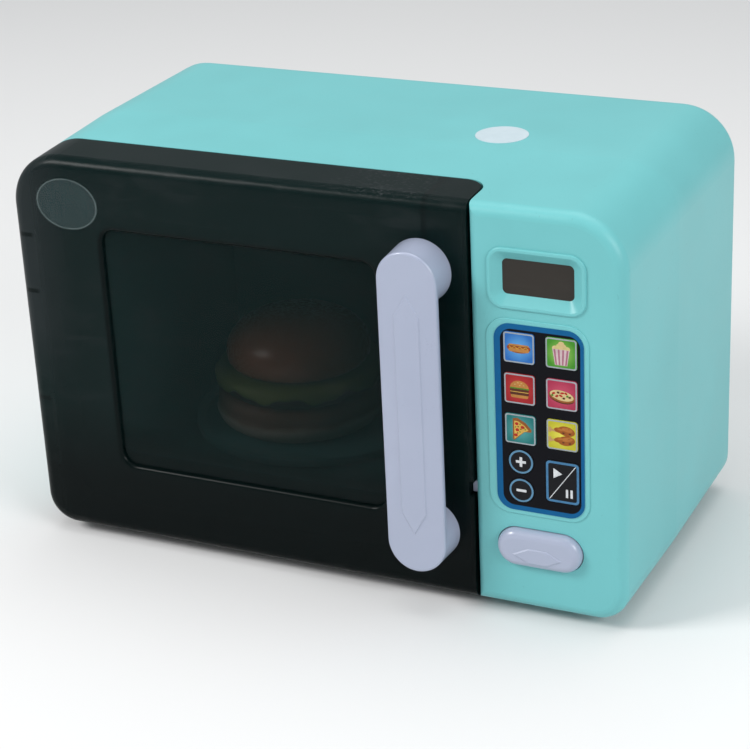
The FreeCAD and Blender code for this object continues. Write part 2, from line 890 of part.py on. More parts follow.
def make_chassis_screws():
    seat = body_bottom + screw_head / 2
    screws = [screw(x, y, seat, (0, 0, 1), screw_length) for x, y in chassis_screw_places()]
    return Part.makeCompound(screws)


def make_rear_cover_screws():
    seat = rear_y - screw_head / 2
    screws = [screw(x, seat, z, (0, -1, 0), screw_length) for x, z in rear_post_places()]
    return Part.makeCompound(screws)


def make_cavity_liner():
    wall = cavity_wall
    outer = panel_between(
        cavity_x0 - wall,
        cavity_x1 + wall,
        cavity_z0 - wall,
        cavity_z1 + wall,
        collar_radius + wall,
        collar_back,
        cavity_rear + wall,
    )
    hollow = panel_between(
        cavity_x0, cavity_x1, cavity_z0, cavity_z1, collar_radius, collar_back, cavity_rear
    )
    shaft_hole = rod_z(hub_shaft_radius + running_gap, turntable_x, turntable_y, liner_floor, cavity_z0)
    lamp_hole = rod_x(lamp_radius, cavity_x1, cavity_x1 + wall, turntable_y, lamp_z)
    return outer.cut(hollow).cut(shaft_hole).cut(lamp_hole).removeSplitter()


def make_lamp_lens():
    flange = cavity_x1 + cavity_wall
    lens = rod_x(lamp_radius - screw_pilot_gap, cavity_x1 - cavity_wall / 2, flange, turntable_y, lamp_z)
    rim = rod_x(lamp_radius + cavity_wall, flange, flange + cavity_wall / 2, turntable_y, lamp_z)
    return lens.fuse(rim).removeSplitter()


def make_lamp_led():
    start = cavity_x1 + cavity_wall + cavity_wall / 2
    end = start + led_length
    body = rod_x(led_radius, start, end, turntable_y, lamp_z)
    base = rod_x(led_radius + led_flange, end - led_flange, end, turntable_y, lamp_z)
    return body.fuse(base).removeSplitter()


def gear_flank(teeth, radius, shrink):
    # Half the angle that a tooth fills at a radius, on an involute from the base circle.
    pitch_radius = gear_module * teeth / 2
    pressure = math.radians(gear_pressure_angle)
    base_radius = pitch_radius * math.cos(pressure)
    half_tooth = math.pi / (2 * teeth) - shrink / (2 * pitch_radius)
    at_pitch = math.tan(pressure) - pressure
    local = math.acos(min(1, base_radius / max(radius, base_radius)))
    return half_tooth + at_pitch - (math.tan(local) - local)


def gear_wire(teeth, turn, x, y, z):
    pitch_radius = gear_module * teeth / 2
    tip = pitch_radius + gear_addendum * gear_module
    root = pitch_radius - gear_dedendum * gear_module
    shrink = gear_backlash / 2

    def spot(radius, angle):
        return Vector(x + radius * math.cos(angle), y + radius * math.sin(angle), z)

    edges = []
    for tooth in range(teeth):
        centre = turn + 2 * math.pi * tooth / teeth
        root_half = gear_flank(teeth, root, shrink)
        pitch_half = gear_flank(teeth, pitch_radius, shrink)
        tip_half = gear_flank(teeth, tip, shrink)
        next_root = centre + 2 * math.pi / teeth - root_half
        flank = ((root, root_half), (pitch_radius, pitch_half), (tip, tip_half))
        rising = [spot(radius, centre - half) for radius, half in flank]
        falling = [spot(radius, centre + half) for radius, half in reversed(flank)]
        edges.append(Part.Arc(*rising).toShape())
        edges.append(Part.Arc(rising[2], spot(tip, centre), falling[0]).toShape())
        edges.append(Part.Arc(*falling).toShape())
        middle = (centre + root_half + next_root) / 2
        edges.append(Part.Arc(falling[2], spot(root, middle), spot(root, next_root)).toShape())
    return Part.Wire(edges)


def gear(teeth, turn, x, y, z0, z1):
    return Part.Face(gear_wire(teeth, turn, x, y, z0)).extrude(Vector(0, 0, z1 - z0))


def make_turntable_hub():
    wheel = gear(hub_teeth, 0, turntable_x, turntable_y, small_gear_z, small_gear_z + gear_width)
    shaft = rod_z(hub_shaft_radius, turntable_x, turntable_y, gearbox_top, plate_low)
    flange = rod_z(hub_flange_radius, turntable_x, turntable_y, plate_low - hub_flange / 2, plate_low)
    pivot = rod_z(hub_pivot_radius, turntable_x, turntable_y, gearbox_low, gearbox_top + running_gap)
    return joined([wheel, shaft, flange, pivot])


def make_turntable_plate():
    x, y = turntable_x, turntable_y
    disc = rod_z(turntable_radius, x, y, plate_low, plate_top)
    dish = rod_z(turntable_radius - turntable_rim_width, x, y, plate_top - turntable_rim, plate_top)
    disc = disc.cut(dish)
    rims = [edge for edge in disc.Edges if abs(edge.BoundBox.ZMax - plate_top) < 0.001]
    return disc.makeFillet(turntable_rim_rounding, rims)


def make_idler_gear():
    gap_turn = math.pi + math.pi / idler_small_teeth
    small = gear(idler_small_teeth, gap_turn, idler_x, turntable_y, small_gear_z, large_gear_z)
    large = gear(idler_large_teeth, 0, idler_x, turntable_y, large_gear_z, large_gear_z + gear_width)
    boss = rod_z(2 * idler_axle_radius, idler_x, turntable_y, gearbox_top, small_gear_z)
    bore = rod_z(idler_axle_radius + running_gap, idler_x, turntable_y, gearbox_low, liner_floor)
    return joined([small, large, boss]).cut(bore)


def make_idler_axle():
    return rod_z(idler_axle_radius, idler_x, turntable_y, gearbox_low, liner_floor)


def make_motor_pinion():
    gap_turn = math.pi + math.pi / pinion_teeth
    teeth = gear(pinion_teeth, gap_turn, motor_x, turntable_y, large_gear_z - gear_layer_gap, gear_layer_top)
    shaft = rod_z(motor_shaft_radius, motor_x, turntable_y, motor_bore_low, large_gear_z)
    return teeth.fuse(shaft).removeSplitter()


def make_drive_motor():
    can = rod_z(motor_radius, motor_x, turntable_y, chassis_top, gearbox_low)
    flat = block(
        motor_x - motor_radius,
        motor_x + motor_radius,
        turntable_y - motor_flat / 2,
        turntable_y + motor_flat / 2,
        chassis_top,
        gearbox_low,
    )
    neck = rod_z(motor_neck_radius, motor_x, turntable_y, gearbox_low, gearbox_top)
    bore = rod_z(motor_shaft_radius + running_gap, motor_x, turntable_y, motor_bore_low, gearbox_top)
    return can.common(flat).fuse(neck).cut(bore).removeSplitter()


def make_gearbox_plate():
    x0 = turntable_x - hub_radius - gearbox_margin
    x1 = motor_x + motor_radius + gearbox_margin
    half = hub_radius + gearbox_margin
    plate = block(x0, x1, turntable_y - half, turntable_y + half, gearbox_low, gearbox_top)
    inset = 2 * gearbox_leg_radius
    leg_top = gearbox_low + gearbox_plate_thickness / 2
    legs = []
    for x in (x0 + inset, x1 - inset):
        for y in (turntable_y - half + inset, turntable_y + half - inset):
            legs.append(rod_z(gearbox_leg_radius, x, y, chassis_top, leg_top))
    shape = plate.multiFuse(legs)
    cuts = [
        rod_z(hub_pivot_radius + running_gap, turntable_x, turntable_y, gearbox_low, gearbox_top),
        rod_z(idler_axle_radius, idler_x, turntable_y, gearbox_low, gearbox_top),
        rod_z(motor_neck_radius, motor_x, turntable_y, gearbox_low, gearbox_top),
    ]
    return shape.cut(Part.makeCompound(cuts)).removeSplitter()


def make_control_board():
    board = block(
        panel_x - board_width / 2,
        panel_x + board_width / 2,
        board_front,
        board_front + board_thickness,
        board_bottom,
        board_top,
    )
    hole = screw_radius + screw_clear_gap
    for x, z in board_boss_places():
        board = board.cut(rod_y(hole, x, board_front - 1, board_front + 2 * board_thickness, z))
    return board


def make_board_screws():
    seat = board_front + board_thickness
    depth = board_stand - board_thickness + board_thickness / 2
    return Part.makeCompound([screw(x, seat, z, (0, -1, 0), depth) for x, z in board_boss_places()])


def make_tact_switches():
    switches = []
    for name, x, z, width, height, radius in key_places():
        case = tablet(x, z, switch_size, switch_size, 0.5, board_front - switch_body, board_front)
        start = board_front - switch_body - switch_plunger
        plunger = rod_y(switch_plunger_radius, x, start, board_front - switch_body, z)
        switches.append(case.fuse(plunger).removeSplitter())
    return Part.makeCompound(switches)


def make_display_lens():
    width = display_width + 2 * lens_margin
    height = display_height + 2 * lens_margin
    return tablet(panel_x, display_z, width, height, display_radius, panel_back, lens_back)


def make_display_module():
    width = display_width + 2 * lens_margin
    height = display_height + 2 * lens_margin
    frame = tablet(panel_x, display_z, width, height, display_radius, lens_back, board_front)
    sink_back = lens_back + module_sink
    sink = tablet(panel_x, display_z, display_width, display_height, display_radius, lens_back, sink_back)
    return frame.cut(sink)


def make_speaker():
    front = inner_rear - speaker_depth
    cone_front = front + speaker_magnet
    cone_rear = inner_rear - speaker_rim
    rim = rod_y(speaker_radius, speaker_x, cone_rear, inner_rear, speaker_z)
    cone = Part.makeCone(
        speaker_magnet_radius,
        speaker_radius - speaker_rim,
        cone_rear - cone_front,
        Vector(speaker_x, cone_front, speaker_z),
        Vector(0, 1, 0),
    )
    magnet = rod_y(speaker_magnet_radius, speaker_x, front, cone_front, speaker_z)
    return joined([rim, cone, magnet])


def make_keypad_overlay():
    sheet = tablet(overlay_x, pad_z, overlay_width, overlay_height, overlay_radius, overlay_front, pad_front)
    for place in key_places():
        sheet = sheet.cut(key_hole(place, overlay_front - shell_wall, panel_back))
    return sheet


def make_key(x, z, width, height, radius):
    cap = tablet(x, z, width, height, radius, key_front, panel_back)
    cap = cap.makeFillet(key_edge_rounding, edges_at(cap, key_front))
    lip_width = width + 2 * key_lip
    lip_height = height + 2 * key_lip
    lip_back = panel_back + key_flange
    lip = tablet(x, z, lip_width, lip_height, radius + key_lip, panel_back, lip_back)
    stem = rod_y(key_stem_radius, x, lip_back, lip_back + key_stem, z)
    return joined([cap, lip, stem])


def make_release_button():
    front = front_y - button_rise
    mark_grow = 2 * button_mark_rise * handle_hexagon_slope
    cap = tablet(panel_x, button_z, button_width, button_height, button_height / 2, front, panel_back)
    cap = cap.makeFillet(button_dome, edges_at(cap, front))
    lip_width = button_width + 2 * button_lip
    lip_height = button_height + 2 * button_lip
    lip = tablet(panel_x, button_z, lip_width, lip_height, lip_height / 2, panel_back, button_back)
    mark_z = button_z - button_mark_drop
    half_mark = button_mark_width / 2
    sides = (panel_x - half_mark, panel_x + half_mark)
    mark = raised_hexagon(
        [(x, z) for z, x in hexagon(mark_z, button_mark_height / 2, *sides, button_mark_point, 0)],
        [(x, z) for z, x in hexagon(mark_z, button_mark_height / 2, *sides, button_mark_point, mark_grow)],
        front - button_mark_rise,
        front + button_mark_rise,
    )
    plate_left, bar_front, bar_low, foot_left, foot_right = latch_layout()
    wedge = prism_z(
        (
            (foot_left, button_back - button_flange / 2),
            (foot_left + wedge_leg + button_flange / 2, button_back - button_flange / 2),
            (foot_left, button_back + wedge_leg),
        ),
        bar_low,
        bar_low + latch_bar_height,
    )
    return joined([cap, lip, mark, wedge])


def make_door_latch():
    plate_left, bar_front, bar_low, foot_left, foot_right = latch_layout()
    nose_y = panel_back + latch_plate / 2
    nose_back = nose_y + latch_nose_depth
    nose_low = latch_z - latch_nose_height / 2
    nose_high = latch_z + latch_nose_height / 2
    plate_right = plate_left + latch_plate
    bar_back = bar_front + latch_plate
    bar_high = bar_low + latch_bar_height
    tip = door_right - latch_reach
    nose = block(tip, plate_right, nose_y, nose_back, nose_low, nose_high)
    upright = block(plate_left, plate_right, nose_y, nose_back, bar_low, nose_high)
    web = block(plate_left, plate_right, nose_y, bar_back, bar_low, bar_high + latch_bar_height)
    bar = block(plate_left, foot_right, bar_front, bar_back, bar_low, bar_high)
    foot_front = button_back + button_travel + latch_gap
    foot = block(foot_left, foot_right, foot_front, bar_back, bar_low, bar_high)
    # The ramp faces the button's wedge across a small gap, at 45 degrees.
    limit = foot_left + button_back + wedge_leg + wedge_gap * math.sqrt(2)
    far_x = foot_left - 4 * wedge_leg
    near_y = foot_front - wedge_leg
    ramp = prism_z(((far_x, limit - far_x), (far_x, near_y), (limit - near_y, near_y)), bar_low, bar_high)
    shape = joined([nose, upright, web, bar, foot.cut(ramp)])
    bevel = latch_bevel
    corner_points = ((tip, nose_back - bevel), (tip + bevel, nose_back), (tip, nose_back))
    return shape.cut(prism_z(corner_points, nose_low, nose_high))


def make_latch_spring():
    plate_left, bar_front, bar_low, foot_left, foot_right = latch_layout()
    y = bar_front + latch_plate / 2
    end = foot_right + latch_spring_length
    outer = rod_x(latch_spring_radius, foot_right, end, y, button_z)
    return outer.cut(rod_x(latch_spring_radius - spring_wire, foot_right, end, y, button_z))


def make_button_spring():
    x = panel_x + button_width / 2 - button_spring_radius
    end = button_back + button_spring_length
    outer = rod_y(button_spring_radius, x, button_back, end, button_z)
    return outer.cut(rod_y(button_spring_radius - spring_wire, x, button_back, end, button_z))


def door_hinge_ribs():
    ribs = []
    back = hinge_y + lug_radius + hinge_rib / 2
    for z in lug_centres:
        for low in (z - lug_height / 2 - lug_end_gap - hinge_rib, z + lug_height / 2 + lug_end_gap):
            right = hinge_x + lug_radius + hinge_rib / 2
            ribs.append(block(-front_half, right, front_y + door_wall / 2, back, low, low + hinge_rib))
    return ribs


def window_pocket():
    # Shallow pocket of the window; its rim rolls over from the door's front face.
    front = front_y - window_round
    back = front_y + window_recess
    pocket = panel_between(window_x0, window_x1, window_z0, window_z1, window_radius, front, back)
    reach = 2 * window_round
    cover = block(
        window_x0 - reach, window_x1 + reach, front, front_y, window_z0 - reach, window_z1 + reach
    )
    both = cover.fuse(pocket).removeSplitter()
    rim = [edge for edge in edges_at(both, front_y) if edge.CenterOfMass.x > window_x0 - window_round]
    rim = [edge for edge in rim if edge.CenterOfMass.x < window_x1 + window_round]
    rim = [edge for edge in rim if abs(edge.CenterOfMass.z - window_middle) < window_half + window_round]
    return both.makeFillet(window_round, rim)


def make_door_panel():
    form = front_form()
    solid = form.common(door_plan(0, 0))
    far_back = rim_y + door_depth
    inner = casing_form(front_y + door_wall, seam_y, door_wall)
    plan = door_plan(-door_wall, -door_wall)
    open_back = block(
        -body_width, door_right - door_plan_radius - door_wall, front_y, far_back, 0, body_top
    )
    hollow = inner.common(plan.fuse(open_back))
    shape = solid.cut(hollow)
    ribs = [rib.common(solid) for rib in door_hinge_ribs()]
    shape = shape.multiFuse(ribs)
    swing = hinge_stand - hinge_swing_gap
    rear_left = block(-body_width, hinge_x, hinge_y, far_back, 0, body_top)
    cuts = [rear_left.cut(rod_z(swing, hinge_x, hinge_y, 0, body_top))]
    reach = lug_radius + lug_front_gap
    for z in lug_centres:
        half = lug_height / 2 + lug_end_gap
        cuts.append(block(-body_width, hinge_x, hinge_y - reach, far_back, z - half, z + half))
        cuts.append(rod_z(hinge_pin_radius, hinge_x, hinge_y, z - lug_height, z + lug_height))
    cuts.append(window_pocket())
    for z in handle_ends:
        cuts.append(rod_y(screw_radius + screw_clear_gap, handle_x, front_y, front_y + door_wall, z))
    half = latch_nose_height / 2 + 2 * latch_gap
    notch_x = door_right - latch_reach - 2 * latch_gap
    cuts.append(block(notch_x, door_right, front_y, far_back, latch_z - half, latch_z + half))
    return shape.cut(Part.makeCompound(cuts)).removeSplitter()


def make_hinge_pins():
    reach = lug_height / 2 + lug_end_gap + hinge_rib
    pins = [rod_z(hinge_pin_radius, hinge_x, hinge_y, z - reach, z + reach) for z in lug_centres]
    return Part.makeCompound(pins)


def hexagon(middle, half, bottom, top, point, grow):
    # Corners of a long hexagon about the line at middle, grown on all sides.
    slant = math.hypot(half, point) / half
    reach = half + grow
    shoulder = point * reach / half
    low = bottom - grow * slant
    high = top + grow * slant
    return [
        (middle, high),
        (middle + reach, high - shoulder),
        (middle + reach, low + shoulder),
        (middle, low),
        (middle - reach, low + shoulder),
        (middle - reach, high - shoulder),
    ]


def raised_hexagon(front_outline, back_outline, y0, y1):
    # Boss with sloping sides between two outlines.
    wires = []
    for outline, y in ((front_outline, y0), (back_outline, y1)):
        corners = [Vector(x, y, z) for x, z in outline]
        wires.append(Part.makePolygon(corners + corners[:1]))
    return Part.makeLoft(wires, True, True)


def handle_crown(front):
    # Wide cylinder whose front gives the bar a slightly rounded face.
    return rod_z(handle_crown_radius, handle_x, front + handle_crown_radius, 0, body_top)


def handle_mark(bar_front, low, high):
    back = bar_front + handle_bar / 2
    half = handle_hexagon_width / 2
    shrink = -handle_rise * handle_hexagon_slope
    grow = (back - bar_front) * handle_hexagon_slope
    mark = raised_hexagon(
        hexagon(handle_x, half, low, high, handle_hexagon_point, shrink),
        hexagon(handle_x, half, low, high, handle_hexagon_point, grow),
        handle_front,
        back,
    )
    return mark.common(handle_crown(handle_front))


def make_door_handle():
    bar_front = handle_front + handle_rise
    bar_back = bar_front + handle_bar
    low, high = handle_ends
    middle = (low + high) / 2
    width = 2 * handle_half_width
    bar = tablet(handle_x, middle, width, high - low + width, handle_half_width, bar_front, bar_back)
    bar = bar.common(handle_crown(bar_front))
    rim = [edge for edge in bar.Edges if edge.BoundBox.YMax < bar_back - handle_edge_radius]
    rim = [edge for edge in rim if abs(edge.CenterOfMass.x - handle_x) > handle_edge_radius]
    bar = bar.makeFillet(handle_edge_radius, rim)
    adds = [bar]
    for z in handle_ends:
        start = Vector(handle_x, bar_back - handle_post_sink, z)
        length = front_y - start.y
        base_radius = handle_half_width + handle_post_flare
        adds.append(Part.makeCone(handle_half_width, base_radius, length, start, Vector(0, 1, 0)))
    adds.append(handle_mark(bar_front, low + handle_hexagon_end, high - handle_hexagon_end))
    shape = joined(adds)
    for z in handle_ends:
        shape = shape.cut(rod_y(screw_radius + screw_pilot_gap, handle_x, front_y - screw_length, front_y, z))
    return shape


def make_handle_screws():
    seat = front_y + door_wall
    screws = [screw(handle_x, seat, z, (0, -1, 0), screw_length) for z in handle_ends]
    return Part.makeCompound(screws)


def make_door_label():
    x = door_label_inset - front_half
    z = front_top - door_label_drop
    disc = Part.makeCylinder(1, label_thickness, Vector(0, 0, 0), Vector(0, -1, 0))
    stretch = FreeCAD.Matrix()
    stretch.scale(door_label_width / 2, 1, door_label_height / 2)
    oval = disc.transformGeometry(stretch)
    oval.translate(Vector(x, front_y, z))
    return oval


def make_top_label():
    return rod_z(top_label_radius, top_label_x, top_label_y, body_top, body_top + label_thickness)


def bun_profile(radius, z0, z1, low_round, high_round):
    # Outline of a bun: a flat disc whose two edges are rounded by short facets of arcs.
    points = [(0, z0)]
    middle = z0 + low_round
    turns = [math.pi / 2 * step / bun_facets for step in range(bun_facets + 1)]
    for angle in turns:
        points.append((radius - low_round * (1 - math.sin(angle)), middle - low_round * math.cos(angle)))
    for angle in turns[1:]:
        points.append((radius - high_round * (1 - math.cos(angle)), middle + (z1 - middle) * math.sin(angle)))
    points.append((0, z1))
    return points


def make_bun_bottom():
    z1 = burger_base + bun_bottom_height
    profile = bun_profile(bun_bottom_radius, burger_base, z1, bun_bottom_rounding, bun_bottom_rounding / 2)
    return turned(profile, burger_x, burger_y)


def make_patty():
    z0 = burger_base + bun_bottom_height
    profile = bun_profile(patty_radius, z0, z0 + patty_height, patty_rounding, patty_rounding)
    return turned(profile, burger_x, burger_y)


def make_lettuce():
    z0 = burger_base + bun_bottom_height + patty_height
    edges = []
    lobe = 360.0 / lettuce_lobes
    valley = lettuce_radius - lettuce_wave
    crest = lettuce_radius + lettuce_wave / 2
    for number in range(lettuce_lobes):
        points = []
        for share, radius in ((0, valley), (0.5, crest), (1, valley)):
            spot = on_circle(0, 0, radius, (number + share) * lobe, 0)
            points.append(Vector(burger_x + spot.x, burger_y + spot.z, z0))
        edges.append(Part.Arc(*points).toShape())
    return Part.Face(Part.Wire(edges)).extrude(Vector(0, 0, lettuce_height))


def make_bun_top():
    z0 = burger_base + bun_bottom_height + patty_height + lettuce_height
    crown = bun_top_radius - bun_crown
    profile = bun_profile(bun_top_radius, z0, z0 + bun_top_height, bun_top_rounding, crown)
    return turned(profile, burger_x, burger_y)


def save(name, shape):
    if shape.ShapeType == "Compound" and len(shape.Solids) == 1:
        shape = shape.Solids[0]
    shape.exportStep("parts/" + name + ".step")
    good = "valid" if shape.isValid() else "NOT VALID"
    print(name, len(shape.Solids), "solids", round(shape.Volume, 1), "mm3", good)


def main():
    os.makedirs("parts", exist_ok=True)
    makers = {
        "front_housing": make_front_housing,
        "rear_cover": make_rear_cover,
        "chassis_plate": make_chassis_plate,
        "chassis_screws": make_chassis_screws,
        "rear_cover_screws": make_rear_cover_screws,
        "rubber_feet": make_rubber_feet,
        "battery_cover": make_battery_cover,
        "battery_cover_screw": make_battery_cover_screw,
        "battery_cells": make_battery_cells,
        "battery_contacts": make_battery_contacts,
        "cavity_liner": make_cavity_liner,
        "lamp_lens": make_lamp_lens,
        "lamp_led": make_lamp_led,
        "gearbox_plate": make_gearbox_plate,
        "drive_motor": make_drive_motor,
        "motor_pinion": make_motor_pinion,
        "idler_axle": make_idler_axle,
        "idler_gear": make_idler_gear,
        "turntable_hub": make_turntable_hub,
        "turntable_plate": make_turntable_plate,
        "control_board": make_control_board,
        "board_screws": make_board_screws,
        "tact_switches": make_tact_switches,
        "display_module": make_display_module,
        "display_lens": make_display_lens,
        "speaker": make_speaker,
        "keypad_overlay": make_keypad_overlay,
        "release_button": make_release_button,
        "button_spring": make_button_spring,
        "door_latch": make_door_latch,
        "latch_spring": make_latch_spring,
        "door_panel": make_door_panel,
        "door_handle": make_door_handle,
        "handle_screws": make_handle_screws,
        "hinge_pins": make_hinge_pins,
        "door_label": make_door_label,
        "top_label": make_top_label,
        "bun_bottom": make_bun_bottom,
        "patty": make_patty,
        "lettuce": make_lettuce,
        "bun_top": make_bun_top,
    }
    for name, make in makers.items():
        save(name, make())
    for name, x, z, width, height, radius in key_places():
        save("key_" + name, make_key(x, z, width, height, radius))


main()
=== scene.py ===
import bpy, math
from mathutils import Matrix, Vector


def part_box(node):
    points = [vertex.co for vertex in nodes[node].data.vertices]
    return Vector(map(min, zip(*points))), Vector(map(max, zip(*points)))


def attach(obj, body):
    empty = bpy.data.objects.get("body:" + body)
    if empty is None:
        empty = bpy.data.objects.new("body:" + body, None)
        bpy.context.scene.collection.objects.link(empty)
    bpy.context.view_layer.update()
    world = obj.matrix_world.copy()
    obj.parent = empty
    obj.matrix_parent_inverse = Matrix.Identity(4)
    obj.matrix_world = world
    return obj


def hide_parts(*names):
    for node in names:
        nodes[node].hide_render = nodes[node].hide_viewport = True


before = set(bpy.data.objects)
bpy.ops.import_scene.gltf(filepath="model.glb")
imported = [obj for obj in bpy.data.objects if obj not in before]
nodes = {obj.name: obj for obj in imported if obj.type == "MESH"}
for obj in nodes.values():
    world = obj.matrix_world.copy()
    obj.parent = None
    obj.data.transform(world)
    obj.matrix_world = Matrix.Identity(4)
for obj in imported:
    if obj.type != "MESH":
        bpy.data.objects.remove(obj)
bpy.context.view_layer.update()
mm = 0.001
print("frame loaded:", len(nodes), "nodes")


def clearSelection():
    if bpy.context.mode != "OBJECT":
        bpy.ops.object.mode_set(mode="OBJECT")
    bpy.ops.object.select_all(action="DESELECT")


def pick(*pieces):
    clearSelection()
    for piece in pieces:
        piece.select_set(True)
    bpy.context.view_layer.objects.active = pieces[0]


# camera, fitted to the edges of the casing
shot = {
    "place": (0.39443, -0.81601, 0.47587),
    "right": (0.90781, 0.41691, -0.04551),
    "up": (-0.13232, 0.38772, 0.91223),
    "ahead": (-0.39796, 0.82211, -0.40714),
    "lens": 104.722, "sensor": 36, "reach": 20,
}
clearSelection()
bpy.ops.object.camera_add()
camera = bpy.context.object
camera.name = "productCamera"
camera.data.lens = shot["lens"]
camera.data.sensor_width = shot["sensor"]
camera.data.sensor_fit = "HORIZONTAL"
camera.data.clip_end = shot["reach"]
columns = [Vector(shot["right"]), Vector(shot["up"]), -Vector(shot["ahead"]), Vector(shot["place"])]
camera.matrix_world = Matrix([[column[row] for column in columns] for row in range(3)] + [[0, 0, 0, 1]])
bpy.context.scene.camera = camera
bpy.context.scene.view_settings.view_transform = "Standard"
print("camera set")


class Wire:
    # one socket of a material, so that shader maths reads as plain sums
    def __init__(self, paint, socket):
        self.paint = paint
        self.socket = socket

    def calc(self, operation, first, second=0.0):
        return self.paint.node("ShaderNodeMath", {"operation": operation}, {0: first, 1: second})

    def __add__(self, other):
        return self.calc("ADD", self, other)

    def __radd__(self, other):
        return self.calc("ADD", other, self)

    def __sub__(self, other):
        return self.calc("SUBTRACT", self, other)

    def __rsub__(self, other):
        return self.calc("SUBTRACT", other, self)

    def __mul__(self, other):
        return self.calc("MULTIPLY", self, other)

    def __rmul__(self, other):
        return self.calc("MULTIPLY", other, self)

    def __pow__(self, other):
        return self.calc("POWER", self, other)

    def __abs__(self):
        return self.calc("ABSOLUTE", self)


class Paint:
    # one procedural material on a Principled shader
    inputNames = {"colour": "Base Color", "coat": "Coat Weight", "coatRough": "Coat Roughness",
                  "spec": "Specular IOR Level"}

    def __init__(self, name, **constants):
        self.material = bpy.data.materials.new(name)
        self.material.use_nodes = True
        self.tree = self.material.node_tree
        self.shader = self.tree.nodes["Principled BSDF"]
        self.set(**constants)

    def feed(self, socket, value):
        if isinstance(value, Wire):
            self.tree.links.new(value.socket, socket)
        elif hasattr(value, "__len__") and len(value) == 3 and socket.type == "RGBA":
            socket.default_value = (*value, 1.0)
        else:
            socket.default_value = value

    def node(self, kind, settings=None, values=None, out=0):
        made = self.tree.nodes.new(kind)
        for key, value in (settings or {}).items():
            setattr(made, key, value)
        for key, value in (values or {}).items():
            self.feed(made.inputs[key], value)
        return Wire(self, made.outputs[out])

    def set(self, **values):
        for key, value in values.items():
            self.feed(self.shader.inputs[self.inputNames.get(key, key.capitalize())], value)

    def place(self, centre=(0, 0, 0), scale=(1, 1, 1)):
        coords = self.node("ShaderNodeTexCoord", out="Object")
        shift = tuple(-c * s for c, s in zip(centre, scale))
        return self.node("ShaderNodeMapping", {}, {"Vector": coords, "Location": shift, "Scale": scale})

    def split(self, vector):
        first = self.node("ShaderNodeSeparateXYZ", {}, {"Vector": vector})
        return [Wire(self, socket) for socket in first.socket.node.outputs]

    def noise(self, scale, detail, rough, stretch=0.0, vector=None):
        values = {"Vector": vector or self.place(), "Scale": scale, "Detail": detail, "Roughness": rough,
                  "Distortion": stretch}
        return self.node("ShaderNodeTexNoise", {}, values)

    def ramp(self, value, low, high):
        return self.node("ShaderNodeMapRange", {"clamp": True},
                         {"Value": value, "From Min": low, "From Max": high, "To Min": 0.0, "To Max": 1.0})

    def panelMask(self, low, high, radius, soft):
        # 1 inside an upright rounded rectangle between the corners (x, z), 0 outside
        x, _, z = self.split(self.place())
        over = []
        for axis, start, end in ((x, low[0], high[0]), (z, low[1], high[1])):
            raw = abs(axis - (start + end) / 2) - ((end - start) / 2 - radius)
            over.append(raw.calc("MAXIMUM", raw, 0.0))
        reach = (over[0] * over[0] + over[1] * over[1]) ** 0.5
        return self.ramp(reach, radius + soft, radius - soft)

    def mix(self, factor, first, second):
        # the colour sockets of this node share their names with others, so they go by number
        return self.node("ShaderNodeMix", {"data_type": "RGBA"}, {0: factor, 6: first, 7: second}, out=2)

    def bump(self, height, strength, depth):
        values = {"Height": height, "Strength": strength, "Distance": depth}
        self.set(normal=self.node("ShaderNodeBump", {}, values))


def dress(paint, *names):
    # CAD nodes keep their mesh and take a better material
    for name in names:
        slots = nodes[name].data.materials
        slots.clear()
        slots.append(paint.material)


moulding = {
    "flow": {"scale": 14.0, "detail": 2.0, "rough": 0.5, "stretch": 0.6},
    "cloud": {"scale": 55.0, "detail": 4.0, "rough": 0.6},
    "grain": {"scale": 1900.0, "detail": 2.0, "rough": 0.6},
    "specks": {"scale": 620.0, "detail": 1.0, "rough": 0.4},
    "flowShare": 0.7, "cloudShare": 0.3, "toneRange": (0.32, 0.68),
    "speckRange": (0.76, 0.80), "speck": 0.12, "speckColour": (0.02, 0.03, 0.03),
    "cloudGloss": 0.10, "grainGloss": 0.05, "spec": 0.5, "coat": 0.0, "coatRough": 0.12,
    "flowHeight": 3.0, "depth": 0.00012,
}


def mouldedPlastic(name, look):
    # injection moulded plastic: faint flow marks, fine grain, a little unevenness in the gloss
    look = {**moulding, **look}
    paint = Paint(name, metallic=0.0, coat=look["coat"], coatRough=look["coatRough"], spec=look["spec"])
    flow = paint.noise(**look["flow"])
    cloud = paint.noise(**look["cloud"])
    grain = paint.noise(**look["grain"])
    speck = paint.ramp(paint.noise(**look["specks"]), *look["speckRange"])
    tone = paint.ramp(flow * look["flowShare"] + cloud * look["cloudShare"], *look["toneRange"])
    colour = paint.mix(tone, look["dark"], look["light"])
    colour = paint.mix(speck * look["speck"], colour, look["speckColour"])
    paint.set(colour=colour, roughness=look["gloss"] + look["cloudGloss"] * cloud + look["grainGloss"] * grain)
    paint.bump(grain + look["flowHeight"] * flow, look["bump"], look["depth"])
    return paint


